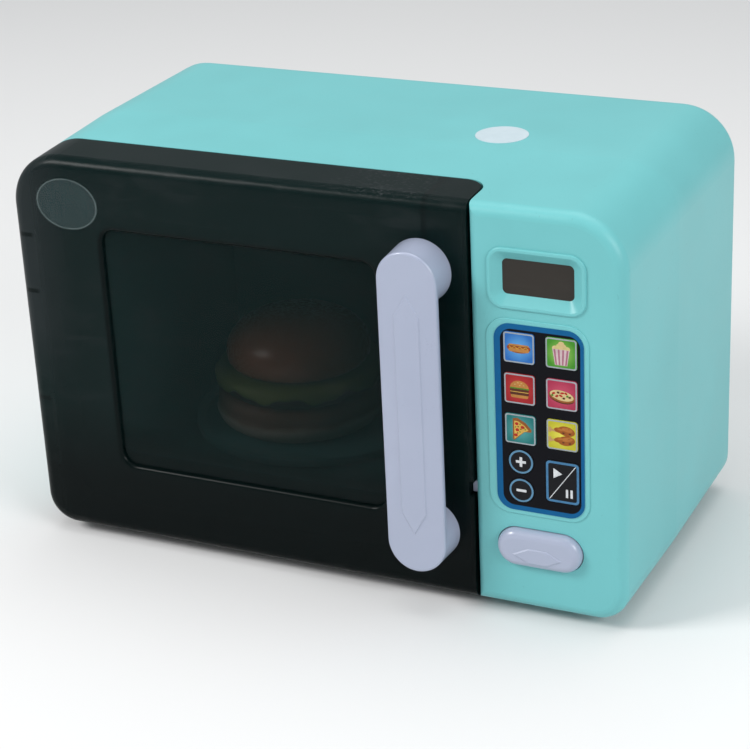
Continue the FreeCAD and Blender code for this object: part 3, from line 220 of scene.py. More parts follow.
mintLook = {"dark": (0.139, 0.443, 0.456), "light": (0.153, 0.480, 0.495), "gloss": 0.27, "spec": 0.30,
            "bump": 0.08}
# the cavity liner is darker than the shell: painted shade of the closed cavity
linerShadeLook = {"dark": (0.058, 0.190, 0.190), "light": (0.072, 0.225, 0.225), "gloss": 0.42, "bump": 0.14}
hatchLook = {"dark": (0.130, 0.440, 0.450), "light": (0.148, 0.485, 0.496), "gloss": 0.36, "bump": 0.14}
whiteLook = {"dark": (0.318, 0.354, 0.466), "light": (0.348, 0.384, 0.496), "gloss": 0.22, "coat": 0.25,
             "bump": 0.06, "speck": 0.05}
gearLook = {"dark": (0.72, 0.72, 0.69), "light": (0.80, 0.80, 0.77), "gloss": 0.45, "bump": 0.12}
# the turntable plate is dark teal: partly its own colour, partly painted shade of the closed cavity
tableShadeLook = {"dark": (0.078, 0.235, 0.235), "light": (0.092, 0.270, 0.268), "gloss": 0.30, "bump": 0.10}
greyLook = {"dark": (0.26, 0.27, 0.28), "light": (0.33, 0.34, 0.36), "gloss": 0.45, "bump": 0.15}

dress(mouldedPlastic("mintShell", mintLook), "front_housing", "rear_cover")
dress(mouldedPlastic("linerTealShaded", linerShadeLook), "cavity_liner")
dress(mouldedPlastic("hatchMint", hatchLook), "battery_cover")
dress(mouldedPlastic("lilacWhite", whiteLook), "door_handle", "release_button", "door_latch")
dress(mouldedPlastic("whiteGear", gearLook), "turntable_hub", "idler_gear", "motor_pinion")
dress(mouldedPlastic("turntableShadedPlastic", tableShadeLook), "turntable_plate")
dress(mouldedPlastic("innerGrey", greyLook), "chassis_plate", "gearbox_plate", "display_module",
      "tact_switches")
print("moulded plastics done")

smoke = {
    "wave": {"scale": 26.0, "detail": 1.0, "rough": 0.4}, "bump": 0.10, "depth": 0.0006,
    "smear": {"scale": 70.0, "detail": 5.0, "rough": 0.65, "stretch": 1.2}, "smearAxes": (0.5, 1.0, 1.7),
    "smearRange": (0.50, 0.75), "smearHaze": 0.30, "smearGloss": 0.08,
    "dust": {"scale": 900.0, "detail": 2.0, "rough": 0.5},
    "dustRange": (0.72, 0.82), "dustHaze": 0.20, "dustGloss": 0.10,
    "rub": {"scale": 900.0, "detail": 4.0, "rough": 0.7}, "rubAxes": (0.6, 1.0, 1.0),
    "rubRange": (0.55, 0.66), "rubHaze": 1.6, "rubFlat": 9.0, "rubWaver": 0.02, "rubReach": (0.050, 0.026),
}


def smokePlastic(name, look):
    # see-through smoke moulding with wipe marks, dust and a slightly wavy skin
    look = {**smoke, **look}
    paint = Paint(name, metallic=0.0, spec=look["spec"], alpha=look["cover"])
    wave = paint.noise(**look["wave"])
    smear = paint.noise(**look["smear"], vector=paint.place(scale=look["smearAxes"]))
    dust = paint.ramp(paint.noise(**look["dust"]), *look["dustRange"])
    smearMask = paint.ramp(smear, *look["smearRange"])
    wiped = smearMask * look["smearHaze"] + dust * look["dustHaze"]
    if "scuffed" in look:
        # fine rub marks where the top lip meets the column
        x, _, z = paint.split(paint.place(look["scuffed"]))
        near = paint.ramp(abs(x) + look["rubFlat"] * abs(z) + look["rubWaver"] * wave, *look["rubReach"])
        rub = paint.noise(**look["rub"], vector=paint.place(scale=look["rubAxes"]))
        wiped = wiped + near * paint.ramp(rub, *look["rubRange"]) * look["rubHaze"]
    paint.ground = paint.mix(paint.ramp(wiped, 0.0, 1.0), look["dark"], look["hazy"])
    rough = look["gloss"] + look["smearGloss"] * smearMask + look["dustGloss"] * dust
    paint.set(colour=paint.ground, roughness=rough)
    paint.bump(wave, look["bump"], look["depth"])
    return paint


doorLook = {
    "dark": (0.0022, 0.0098, 0.0095), "hazy": (0.030, 0.036, 0.038), "gloss": 0.30, "spec": 0.10, "cover": 0.84,
    "window": ((-0.0972, 0.0411), (0.0330, 0.1540)), "radius": 0.0065, "windowSoft": 0.0004,
    "windowCover": 0.53, "paneFootShade": (0.062, 0.046), "paneFootShadeCover": 0.78,
    "rim": 0.0022, "rimSoft": 0.0006, "rimColour": (0.0002, 0.0035, 0.0034), "rimCover": 0.92,
    "side": (-0.1265, -0.1330), "sideCover": 0.96,
    "sideSheenFade": (-0.113, -0.138), "sideSheenRise": (0.074, 0.106), "sideSheenColour": (0.0155, 0.0212, 0.0228),
    "lowShadeRise": (0.072, 0.034), "lowShadeColour": (0.0006, 0.0030, 0.0030),
    "hingeShadeHeights": (0.0421, 0.0687, 0.1213, 0.1479), "hingeShadeFade": (0.0013, 0.0007),
    "hingeShadeEnd": (-0.1316, -0.1332), "hingeShadeStrength": 0.9,
    "postRibStart": (0.0545, 0.0553), "postRibStop": (0.0570, 0.0578), "postRibFoot": (0.150, 0.158),
    "postRibShade": 0.7, "postRibFall": 0.75,
    "scuffed": (0.036, -0.060, 0.1850),
}


def doorSmoke(look):
    # the frame is thick and dark, the rolled rim darker still as painted shade, and the pane lets the food show
    paint = smokePlastic("smokeDoor", look)
    low, high = look["window"]
    grow = look["rim"]
    pane = paint.panelMask(low, high, look["radius"], look["windowSoft"])
    hole = paint.panelMask([edge - grow for edge in low], [edge + grow for edge in high],
                           look["radius"] + grow, look["rimSoft"])
    rim = hole - pane
    x, _, z = paint.split(paint.place())
    # the hinge side is seen through two walls and made nearly opaque as painted shade, and painted shade lines
    # sit beside its lug cut-outs
    side = paint.ramp(x, *look["side"])
    ticks = sum(paint.ramp(abs(z - height), *look["hingeShadeFade"]) for height in look["hingeShadeHeights"])
    ticks = ticks * paint.ramp(x, *look["hingeShadeEnd"])
    # a rib behind the handle's upper post shows dark too
    upper = paint.ramp(z, *look["postRibFoot"])
    start = paint.ramp(x, *look["postRibStart"]) * upper
    stop = paint.ramp(x, *look["postRibStop"]) * upper
    post = start - look["postRibFall"] * stop
    cover = look["cover"]
    # the foot of the pane is made more opaque: painted shade on the lower window
    foot = pane * paint.ramp(z, *look["paneFootShade"])
    # the rolled rim is made more opaque as painted shade
    paint.set(alpha=cover + (look["windowCover"] - cover) * pane
              + (look["paneFootShadeCover"] - look["windowCover"]) * foot
              + (look["sideCover"] - cover) * side + (look["rimCover"] - cover) * (rim + post))
    # the door darkens towards its bottom: painted shade
    ground = paint.mix(paint.ramp(z, *look["lowShadeRise"]), paint.ground, look["lowShadeColour"])
    # the upper part of the hinge side is paler: a painted sheen
    pale = paint.ramp(x, *look["sideSheenFade"]) * paint.ramp(z, *look["sideSheenRise"])
    ground = paint.mix(pale, ground, look["sideSheenColour"])
    # the rolled rim and the lines beside the hinge cut-outs take the rim colour as painted shade; the rib
    # behind the upper post takes it too
    shade = paint.ramp(rim + look["postRibShade"] * post + look["hingeShadeStrength"] * ticks, 0.0, 1.0)
    paint.set(colour=paint.mix(shade, ground, look["rimColour"]))
    return paint


displayLook = {"dark": (0.025, 0.021, 0.017), "hazy": (0.042, 0.037, 0.032), "gloss": 0.18, "spec": 0.22,
               "cover": 1.0}
dress(doorSmoke(doorLook), "door_panel")
dress(smokePlastic("displaySmoke", displayLook), "display_lens")
print("smoke plastics done")

thinFilm = {
    "cloud": {"scale": 120.0, "detail": 3.0, "rough": 0.6}, "cloudGloss": 0.15, "cloudCover": 0.06,
    "wrinkle": {"scale": 160.0, "detail": 2.0, "rough": 0.5}, "bump": 0.08, "depth": 0.0001, "spec": 0.5,
}


def filmSkin(name, look):
    # the gloss and the faint wrinkles of a film or a thin lens
    look = {**thinFilm, **look}
    paint = Paint(name, metallic=0.0, spec=look["spec"])
    paint.cloud = paint.noise(**look["cloud"])
    paint.set(roughness=look["gloss"] + look["cloudGloss"] * paint.cloud)
    paint.bump(paint.noise(**look["wrinkle"]), look["bump"], look["depth"])
    return paint


def clearFilm(name, look):
    paint = filmSkin(name, look)
    paint.set(colour=paint.mix(paint.cloud, look["dark"], look["light"]),
              alpha=look["cover"] + thinFilm["cloudCover"] * paint.cloud)
    return paint


topLabelLook = {"dark": (0.48, 0.59, 0.64), "light": (0.57, 0.66, 0.71), "gloss": 0.40, "cover": 0.90}
lampLook = {"dark": (0.78, 0.78, 0.72), "light": (0.85, 0.85, 0.80), "gloss": 0.35, "cover": 0.62}
dress(clearFilm("paleLabel", topLabelLook), "top_label")
dress(clearFilm("lampClear", lampLook), "lamp_lens", "lamp_led")

doorLabelLook = {"film": (0.12, 0.19, 0.195), "cover": 0.16, "gloss": 0.35, "spec": 0.25, "bump": 0.02,
                 "line": (0.30, 0.37, 0.37), "lineCover": 0.30,
                 "lineStart": (0.935, 0.950), "lineStop": (0.970, 0.985)}


def labelFilm(look):
    # clear oval film with a pale printed line just inside its rim
    low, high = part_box("door_label")
    paint = filmSkin("clearLabel", look)
    x, _, z = paint.split(paint.place((low + high) / 2, (2 / (high.x - low.x), 1.0, 2 / (high.z - low.z))))
    reach = (x * x + z * z) ** 0.5
    line = paint.ramp(reach, *look["lineStart"]) * (1 - paint.ramp(reach, *look["lineStop"]))
    paint.set(colour=paint.mix(line, look["film"], look["line"]),
              alpha=look["cover"] + (look["lineCover"] - look["cover"]) * line)
    return paint


dress(labelFilm(doorLabelLook), "door_label")

plated = {
    "lines": {"scale": 900.0, "detail": 3.0, "rough": 0.6}, "lineGloss": 0.18, "bump": 0.15, "depth": 0.00008,
    "stain": {"scale": 240.0, "detail": 4.0, "rough": 0.6},
}


def steel(name, look):
    # plated steel with fine drawn lines
    paint = Paint(name, metallic=1.0)
    lines = paint.noise(**plated["lines"], vector=paint.place(scale=look["drawn"]))
    stain = paint.noise(**plated["stain"])
    paint.set(colour=paint.mix(stain, look["dark"], look["light"]),
              roughness=look["gloss"] + plated["lineGloss"] * lines)
    paint.bump(lines, plated["bump"], plated["depth"])
    return paint


screwLook = {"dark": (0.42, 0.42, 0.43), "light": (0.58, 0.58, 0.59), "gloss": 0.28, "drawn": (1.0, 1.0, 1.0)}
pinLook = {"dark": (0.50, 0.50, 0.51), "light": (0.64, 0.64, 0.65), "gloss": 0.22, "drawn": (1.0, 1.0, 0.12)}
dress(steel("screwSteel", screwLook), "chassis_screws", "rear_cover_screws", "battery_cover_screw",
      "board_screws", "handle_screws")
dress(steel("pinSteel", pinLook), "hinge_pins", "idler_axle", "latch_spring", "button_spring",
      "battery_contacts", "drive_motor")

matte = {
    "coarse": {"scale": 180.0, "detail": 4.0, "rough": 0.6}, "coarseShare": 0.6,
    "fine": {"scale": 1500.0, "detail": 2.0, "rough": 0.6}, "fineShare": 0.4, "fineGloss": 0.15,
    "toneRange": (0.3, 0.7), "metal": 0.0, "bump": 0.2, "depth": 0.0002,
}


def mattePiece(name, look):
    # rubber, board, basket and wrapper: a matte ground with a coarse and a fine tone
    look = {**matte, **look}
    paint = Paint(name, metallic=look["metal"])
    coarse = paint.noise(**look["coarse"])
    fine = paint.noise(**look["fine"])
    tone = paint.ramp(look["coarseShare"] * coarse + look["fineShare"] * fine, *look["toneRange"])
    paint.set(colour=paint.mix(tone, look["dark"], look["light"]),
              roughness=look["gloss"] + look["fineGloss"] * fine)
    paint.bump(fine + coarse, look["bump"], look["depth"])
    return paint


rubberLook = {"dark": (0.030, 0.030, 0.030), "light": (0.050, 0.050, 0.049), "gloss": 0.70, "bump": 0.35}
boardLook = {"dark": (0.018, 0.15, 0.065), "light": (0.030, 0.21, 0.095), "gloss": 0.35}
basketLook = {"dark": (0.018, 0.018, 0.018), "light": (0.035, 0.035, 0.035), "gloss": 0.50}
wrapLook = {"dark": (0.14, 0.14, 0.15), "light": (0.20, 0.20, 0.21), "gloss": 0.28, "metal": 0.3}
dress(mattePiece("footRubber", rubberLook), "rubber_feet")
dress(mattePiece("boardGreen", boardLook), "control_board")
dress(mattePiece("speakerBlack", basketLook), "speaker")
dress(mattePiece("cellWrap", wrapLook), "battery_cells")
print("metal and matte parts done")

# keypad film, with its margins in mm
filmLook = {
    "blue": (0.0045, 0.104, 0.272), "deep": (0.0035, 0.080, 0.205), "black": (0.0022, 0.0024, 0.0045),
    "left": 2.7, "right": 1.4, "top": 2.2, "bottom": 2.2, "radius": 5.0, "soft": 0.12,
    "cloud": {"scale": 90.0, "detail": 3.0, "rough": 0.6}, "gloss": 0.30, "cloudGloss": 0.12, "spec": 0.1,
    "grain": {"scale": 1600.0, "detail": 2.0, "rough": 0.5}, "bump": 0.10, "depth": 0.00008,
}


def filmPrint(look):
    # a blue border round a black field, printed under a satin skin
    low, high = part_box("keypad_overlay")
    start = (low.x + look["left"] * mm, low.z + look["bottom"] * mm)
    end = (high.x - look["right"] * mm, high.z - look["top"] * mm)
    paint = Paint("keypadPrint", metallic=0.0, spec=look["spec"])
    inner = paint.panelMask(start, end, look["radius"] * mm, look["soft"] * mm)
    cloud = paint.noise(**look["cloud"])
    blue = paint.mix(cloud, look["deep"], look["blue"])
    paint.set(colour=paint.mix(inner, blue, look["black"]),
              roughness=look["gloss"] + look["cloudGloss"] * cloud)
    paint.bump(paint.noise(**look["grain"]), look["bump"], look["depth"])
    return paint


dress(filmPrint(filmLook), "keypad_overlay")
print("keypad film done")


# prints on the keys: flat outlines in mm from the key's centre, raised a hair above its face
def turnOutline(rim, x, z, turn):
    c, s = math.cos(math.radians(turn)), math.sin(math.radians(turn))
    return [(x + u * c - v * s, z + u * s + v * c) for u, v in rim]


def oval(x, z, width, height, turn=0.0, count=24):
    angles = [2 * math.pi * i / count for i in range(count)]
    return turnOutline([(width / 2 * math.cos(a), height / 2 * math.sin(a)) for a in angles], x, z, turn)


cornerSteps = 6
samePoint = 0.001


def softBox(x, z, width, height, radius, turn=0.0):
    rim = []
    for corner, (sx, sz) in enumerate(((1, 1), (-1, 1), (-1, -1), (1, -1))):
        for i in range(cornerSteps + 1):
            a = math.pi / 2 * (corner + i / cornerSteps)
            rim.append((sx * (width / 2 - radius) + radius * math.cos(a),
                        sz * (height / 2 - radius) + radius * math.sin(a)))
    # fully round ends meet in one point
    rim = [point for i, point in enumerate(rim) if math.dist(point, rim[i - 1]) > samePoint]
    return turnOutline(rim, x, z, turn)


chipEdge = 0.05


def chip(face, outline, low, rise, paint):
    clearSelection()
    bpy.ops.mesh.primitive_circle_add(vertices=len(outline), radius=mm, fill_type="NGON")
    piece = bpy.context.object
    for vertex, (u, v) in zip(piece.data.vertices, outline):
        vertex.co = (face[0] + u * mm, face[1] - low * mm, face[2] + v * mm)
    bpy.ops.object.mode_set(mode="EDIT")
    bpy.ops.mesh.select_all(action="SELECT")
    bpy.ops.mesh.extrude_region_move(TRANSFORM_OT_translate={"value": (0, -rise * mm, 0)})
    bpy.ops.mesh.inset(thickness=chipEdge * mm, depth=0.0)
    bpy.ops.mesh.select_all(action="SELECT")
    bpy.ops.mesh.normals_make_consistent(inside=False)
    bpy.ops.object.mode_set(mode="OBJECT")
    piece.data.materials.append(paint.material)
    return piece


def joinPieces(name, pieces):
    pick(*pieces)
    bpy.ops.object.join()
    piece = bpy.context.object
    piece.name = name
    return piece


inkLook = {
    "cloud": {"scale": 420.0, "detail": 3.0, "rough": 0.6}, "cloudRange": (0.3, 0.7), "thin": 0.8,
    "gloss": 0.38, "cloudGloss": 0.10, "spec": 0.2, "bump": 0.05, "depth": 0.00005,
}


def inkPaint(name, colour):
    # printed ink with a slightly uneven lay
    paint = Paint(name, metallic=0.0, spec=inkLook["spec"])
    cloud = paint.noise(**inkLook["cloud"])
    dark = tuple(c * inkLook["thin"] for c in colour)
    paint.set(colour=paint.mix(paint.ramp(cloud, *inkLook["cloudRange"]), dark, colour),
              roughness=inkLook["gloss"] + inkLook["cloudGloss"] * cloud)
    paint.bump(cloud, inkLook["bump"], inkLook["depth"])
    return paint


fieldLook = {
    "cloud": {"scale": 300.0, "detail": 2.0, "rough": 0.5}, "waver": 0.0012, "fade": (0.0072, 0.0012),
    "gloss": 0.36, "cloudGloss": 0.10, "spec": 0.2,
}


def fieldPaint(name, centre, heart, rim):
    # key ground, paler at its middle
    paint = Paint(name, metallic=0.0, spec=fieldLook["spec"])
    x, _, z = paint.split(paint.place(centre))
    reach = (x * x + z * z) ** 0.5
    cloud = paint.noise(**fieldLook["cloud"])
    pale = paint.ramp(reach + fieldLook["waver"] * cloud, *fieldLook["fade"])
    paint.set(colour=paint.mix(pale, rim, heart),
              roughness=fieldLook["gloss"] + fieldLook["cloudGloss"] * cloud)
    return paint


inks = {name: inkPaint("ink" + name, colour) for name, colour in {
    "Frame": (0.31, 0.35, 0.38), "White": (0.62, 0.64, 0.66), "Cream": (0.60, 0.46, 0.22),
    "Bread": (0.44, 0.19, 0.045), "Crust": (0.26, 0.085, 0.018), "Meat": (0.085, 0.022, 0.010),
    "Sausage": (0.30, 0.050, 0.016), "Mustard": (0.56, 0.34, 0.03), "Leaf": (0.07, 0.20, 0.015),
    "Tomato": (0.38, 0.020, 0.012), "Cheese": (0.60, 0.36, 0.07), "Paper": (0.56, 0.44, 0.44),
    "Stripe": (0.36, 0.13, 0.19), "Corn": (0.55, 0.48, 0.20), "Roast": (0.30, 0.085, 0.012),
    "RoastLit": (0.42, 0.15, 0.030), "Bone": (0.50, 0.30, 0.12), "PaleBlue": (0.10, 0.24, 0.38),
    "SteelBlue": (0.055, 0.18, 0.34), "Night": (0.0022, 0.0024, 0.0045),
}.items()}

# colours of each key's ground: at its middle and at its rim
keyFields = {
    "key_hot_dog": ((0.10, 0.32, 0.62), (0.018, 0.120, 0.390)),
    "key_popcorn": ((0.24, 0.46, 0.09), (0.045, 0.220, 0.016)),
    "key_burger": ((0.42, 0.034, 0.034), (0.280, 0.011, 0.015)),
    "key_pasta": ((0.47, 0.066, 0.120), (0.330, 0.026, 0.064)),
    "key_pizza": ((0.08, 0.300, 0.290), (0.013, 0.140, 0.140)),
    "key_drumstick": ((0.62, 0.56, 0.07), (0.420, 0.390, 0.020)),
}

# layers of each key's pictogram, from the ground up
keyPictures = {
    "key_hot_dog": [
        (oval(0, -0.3, 9.8, 3.9), "Crust"),
        (softBox(0, 0.6, 9.2, 2.0, 1.0), "Bread"),
        (softBox(0, 0.05, 10.2, 1.5, 0.75), "Meat"),
        (softBox(0, 0.1, 10.0, 1.1, 0.55), "Sausage"),
        (softBox(0, -0.95, 8.9, 1.5, 0.75), "Bread"),
        *[(softBox(-3.6 + 1.2 * i, 0.15, 1.5, 0.28, 0.14, 38 if i % 2 else -38), "Mustard") for i in range(7)],
    ],
    "key_popcorn": [
        *[(oval(x, z, 2.6, 2.3), "Corn" if i % 2 else "Cream") for i, (x, z) in enumerate(
            ((-2.5, 2.2), (-0.8, 3.2), (1.0, 3.1), (2.6, 2.2),
             (0.1, 4.2), (-1.6, 1.6), (0.5, 1.8), (1.7, 1.6)))],
        ([(-3.7, 1.9), (-2.6, -5.0), (2.6, -5.0), (3.7, 1.9)], "Paper"),
        *[([(x * 1.28 - 0.40, 1.8), (x * 0.92 - 0.30, -4.9), (x * 0.92 + 0.30, -4.9), (x * 1.28 + 0.40, 1.8)],
           "Stripe") for x in (-2.2, -0.75, 0.75, 2.2)],
    ],
    "key_burger": [
        (softBox(0, -3.1, 7.6, 1.7, 0.8), "Bread"),
        (softBox(0, -2.0, 8.2, 1.3, 0.6), "Meat"),
        (softBox(0, -1.1, 7.8, 0.7, 0.3), "Cheese"),
        (softBox(0, -0.5, 8.2, 1.3, 0.6), "Meat"),
        *[(oval(-3.4 + 1.36 * i, 0.35, 1.7, 0.8), "Leaf") for i in range(6)],
        ([(4.0 * math.cos(math.pi * i / 16), 0.6 + 3.1 * math.sin(math.pi * i / 16)) for i in range(17)],
         "Bread"),
        *[(oval(x, z, 0.55, 0.32, 20), "Cream") for x, z in (
            (-1.9, 2.0), (-0.6, 2.8), (0.8, 2.6), (1.9, 1.8), (0.2, 1.7))],
    ],
    "key_pasta": [
        (oval(0.1, -1.2, 10.8, 5.0, -8), "Meat"),
        (oval(0.1, -0.6, 11.2, 5.2, -8), "Crust"),
        (oval(0.1, -0.2, 10.2, 4.4, -8), "Cream"),
        *[(oval(x, z, w, 0.9, t), ink) for x, z, w, t, ink in (
            (-3.4, 0.5, 1.5, 20, "Tomato"), (-1.4, 1.0, 1.3, -15, "Meat"), (0.3, 0.9, 1.8, 10, "Tomato"),
            (1.9, 0.9, 1.4, -30, "Tomato"), (3.5, -0.6, 1.3, 15, "Meat"), (-2.0, -0.6, 1.5, 30, "Tomato"),
            (1.0, -1.3, 1.2, 0, "Meat"), (-0.3, -0.3, 1.6, -20, "Tomato"), (2.5, -0.2, 1.1, 40, "Leaf"),
            (-3.9, -0.4, 1.0, 10, "Leaf"))],
    ],
    "key_pizza": [
        ([(-3.2, 4.7), (-1.2, 5.1), (2.4, 3.2), (4.9, 0.4), (4.8, -0.7), (1.8, -0.9),
          (-2.6, -5.1), (-3.3, -4.6)], "Crust"),
        ([(-2.6, 3.6), (-0.9, 3.6), (1.9, 1.9), (3.7, -0.1), (1.5, -1.0), (-2.6, -4.6)], "Cheese"),
        *[(oval(x, z, 1.6, 1.4), "Tomato") for x, z in ((-1.5, 2.4), (1.0, 1.1), (-1.3, -0.3), (-1.9, -2.7))],
        *[(oval(x, z, 0.8, 0.5, t), "Leaf") for x, z, t in (
            (0.0, 2.4, 30), (-0.1, -1.1, -30), (2.2, 0.2, 10), (-2.0, 0.9, 60))],
        *[(oval(x, z, 0.6, 0.5), "Meat") for x, z in ((0.3, 0.2), (-0.9, 1.2), (-1.2, -1.7), (1.7, 0.9))],
    ],
    "key_drumstick": [
        part for lift, lean in ((2.2, -8), (-2.1, 8)) for part in (
            (softBox(-3.6, lift - 0.2, 4.0, 1.0, 0.5, lean), "Bone"),
            (oval(-5.2, lift + 0.6, 1.3, 1.2), "Bone"),
            (oval(-5.2, lift - 0.6, 1.3, 1.2), "Bone"),
            (oval(1.9, lift, 7.4, 4.3, lean), "Roast"),
            (oval(-1.2, lift + 0.1, 4.4, 2.3, lean), "Roast"),
            (oval(2.3, lift + 0.7, 4.6, 1.9, lean), "RoastLit"),
            (oval(-0.8, lift + 0.5, 2.4, 0.8, lean), "RoastLit"),
            (oval(0.6, lift - 0.9, 1.1, 0.6, lean), "Meat"),
            (oval(3.4, lift - 1.0, 1.2, 0.6, lean), "Meat"),
            (oval(3.0, lift + 1.0, 0.8, 0.4, lean), "Crust"),
        )
    ],
}

# heights of the prints in mm
printRise = {"rim": 0.05, "ground": 0.02, "layer": 0.02, "step": 0.004, "mark": 0.03}
printTop = printRise["rim"] + printRise["ground"]


def keyFace(name):
    low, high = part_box(name)
    return ((low.x + high.x) / 2, low.y, (low.z + high.z) / 2)


def keyTitle(kind, name):
    return kind + name.removeprefix("key").title().replace("_", "")


def framed(face, outer, inner, rim, ground):
    # a rim with a ground inside it
    return [chip(face, outer, 0, printRise["rim"], rim),
            chip(face, inner, printRise["rim"], printRise["ground"], ground)]


keyPrint = {"size": 13.1, "line": 0.6, "radius": 1.1, "groundRadius": 0.7}
for name, picture in keyPictures.items():
    face = keyFace(name)
    size = keyPrint["size"]
    inside = size - 2 * keyPrint["line"]
    ground = fieldPaint(keyTitle("field", name), face, *keyFields[name])
    parts = framed(face, softBox(0, 0, size, size, keyPrint["radius"]),
                   softBox(0, 0, inside, inside, keyPrint["groundRadius"]), inks["Frame"], ground)
    for layer, (outline, ink) in enumerate(picture):
        parts.append(chip(face, outline, printTop, printRise["layer"] + printRise["step"] * layer, inks[ink]))
    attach(joinPieces(keyTitle("print", name), parts), name)
    dress(ground, name)

signLook = {"ring": 10.6, "ringLine": 0.8, "ringSides": 48, "arm": 4.4, "thick": 1.15, "corner": 0.12}
for name in ("key_plus", "key_minus"):
    face = keyFace(name)
    outer, sides = signLook["ring"], signLook["ringSides"]
    inner = outer - 2 * signLook["ringLine"]
    arm, thick, corner = signLook["arm"], signLook["thick"], signLook["corner"]
    parts = framed(face, oval(0, 0, outer, outer, count=sides), oval(0, 0, inner, inner, count=sides),
                   inks["PaleBlue"], inks["Night"])
    parts.append(chip(face, softBox(0, 0, arm, thick, corner), printTop, printRise["mark"], inks["White"]))
    if name == "key_plus":
        crossRise = printRise["mark"] + printRise["step"]
        parts.append(chip(face, softBox(0, 0, thick, arm, corner), printTop, crossRise, inks["White"]))
    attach(joinPieces(keyTitle("sign", name), parts), name)

playLook = {
    "width": 14.3, "height": 18.6, "line": 1.0, "radius": 1.6, "groundRadius": 0.9,
    "slash": [(-5.9, -8.0), (-5.5, -8.0), (5.9, 8.0), (5.5, 8.0)],
    "arrow": [(-3.9, 1.6), (-0.1, 3.9), (-3.9, 6.2)],
    "bars": [softBox(x, -4.7, 1.0, 3.8, 0.12) for x in (1.9, 3.9)],
}
face = keyFace("key_play_pause")
wide, tall, border = playLook["width"], playLook["height"], 2 * playLook["line"]
parts = framed(face, softBox(0, 0, wide, tall, playLook["radius"]),
               softBox(0, 0, wide - border, tall - border, playLook["groundRadius"]),
               inks["SteelBlue"], inks["Night"])
parts.append(chip(face, playLook["slash"], printTop, printRise["layer"], inks["White"]))
for outline in (playLook["arrow"], *playLook["bars"]):
    parts.append(chip(face, outline, printTop, printRise["mark"], inks["White"]))
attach(joinPieces("signPlayPause", parts), "key_play_pause")
dress(inks["Night"], "key_plus", "key_minus", "key_play_pause")
print("key prints done")

# play burger of soft vinyl, with sizes in mm
softVinyl = {
    "blush": {"scale": 38.0, "detail": 3.0, "rough": 0.6}, "waver": 0.006, "blushHeight": 2.0,
    "pores": {"scale": 700.0, "detail": 3.0, "rough": 0.6}, "poreRange": (0.60, 0.75), "poreShare": 0.3,
    "gloss": 0.45, "poreGloss": 0.15, "spec": 0.5, "bump": 0.25, "depth": 0.0004,
}


def vinyl(name, look, start, end):
    # the colour goes from low to high between two heights
    look = {**softVinyl, **look}
    paint = Paint(name, metallic=0.0, spec=look["spec"])
    blush = paint.noise(**look["blush"])
    pore = paint.noise(**look["pores"])
    height = paint.split(paint.place())[2]
    heightBlend = paint.ramp(height + look["waver"] * blush, start * mm, end * mm)
    colour = paint.mix(heightBlend, look["low"], look["high"])
    colour = paint.mix(paint.ramp(pore, *look["poreRange"]) * look["poreShare"], colour, look["pore"])
    paint.set(colour=colour, roughness=look["gloss"] + look["poreGloss"] * pore)
    paint.bump(pore + look["blushHeight"] * blush, look["bump"], look["depth"])
    return paint


weldReach = 0.02


def turned(name, centre, profile, steps=72):
    # a profile of (radius, height), spun round the upright axis
    clearSelection()
    bpy.ops.mesh.primitive_circle_add(vertices=len(profile), radius=mm, fill_type="NOTHING")
    piece = bpy.context.object
    piece.name = name
    for vertex, (radius, height) in zip(piece.data.vertices, profile):
        vertex.co = (centre[0] + radius * mm, centre[1], height * mm)
    bpy.ops.object.mode_set(mode="EDIT")
    bpy.ops.mesh.select_all(action="DESELECT")
    bpy.ops.object.mode_set(mode="OBJECT")
    for edge in piece.data.edges:
        edge.select = sorted(edge.vertices) == [0, len(profile) - 1]
    bpy.ops.object.mode_set(mode="EDIT")
    bpy.ops.mesh.delete(type="EDGE")
    bpy.ops.mesh.select_all(action="SELECT")
    bpy.ops.mesh.spin(steps=steps, angle=2 * math.pi, center=(centre[0], centre[1], 0), axis=(0, 0, 1))
    bpy.ops.mesh.select_all(action="SELECT")
    bpy.ops.mesh.remove_doubles(threshold=weldReach * mm)
    bpy.ops.mesh.normals_make_consistent(inside=False)
    bpy.ops.mesh.faces_shade_smooth()
    bpy.ops.object.mode_set(mode="OBJECT")
    return piece


def middle(node):
    low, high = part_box(node)
    return ((low.x + high.x) / 2, (low.y + high.y) / 2, low.z / mm, high.z / mm)


def aroundAxis(vertex, x, y, radius):
    # angle round the upright axis, and distance from it as a share of the radius
    dx, dy = vertex.co.x - x, vertex.co.y - y
    return math.atan2(dy, dx), math.hypot(dy, dx) / (radius * mm)


# foot points are (out from the radius, up from the bottom), crown points (out from the radius, up from the top)
bunTopLook = {
    "radius": 33.4, "hollow": 0.6, "foot": ((-6.0, 0.3), (-2.0, 0.9), (-0.4, 3.0), (-0.1, 6.0)),
    "domeSteps": 12, "domePower": 0.85, "crownShadeDrop": 8,
    "low": (0.46, 0.200, 0.110), "high": (0.40, 0.140, 0.070), "pore": (0.28, 0.085, 0.038), "gloss": 0.20,
}
x, y, z0, z1 = middle("bun_top")
profile = [(0.0, z0 + bunTopLook["hollow"])]
profile += [(bunTopLook["radius"] + out, z0 + up) for out, up in bunTopLook["foot"]]
wide, brim = profile[-1]
for i in range(1, bunTopLook["domeSteps"]):
    angle = math.pi / 2 * i / bunTopLook["domeSteps"]
    profile.append((wide * math.cos(angle) ** bunTopLook["domePower"], brim + (z1 - brim) * math.sin(angle)))
profile.append((0.0, z1))
bunTop = turned("bunTopVinyl", (x, y), profile)
# the top bun is paler low on the dome and darker towards its crown: painted shade
bunTop.data.materials.append(vinyl("bunTopShaded", bunTopLook, z0, z1 - bunTopLook["crownShadeDrop"]).material)

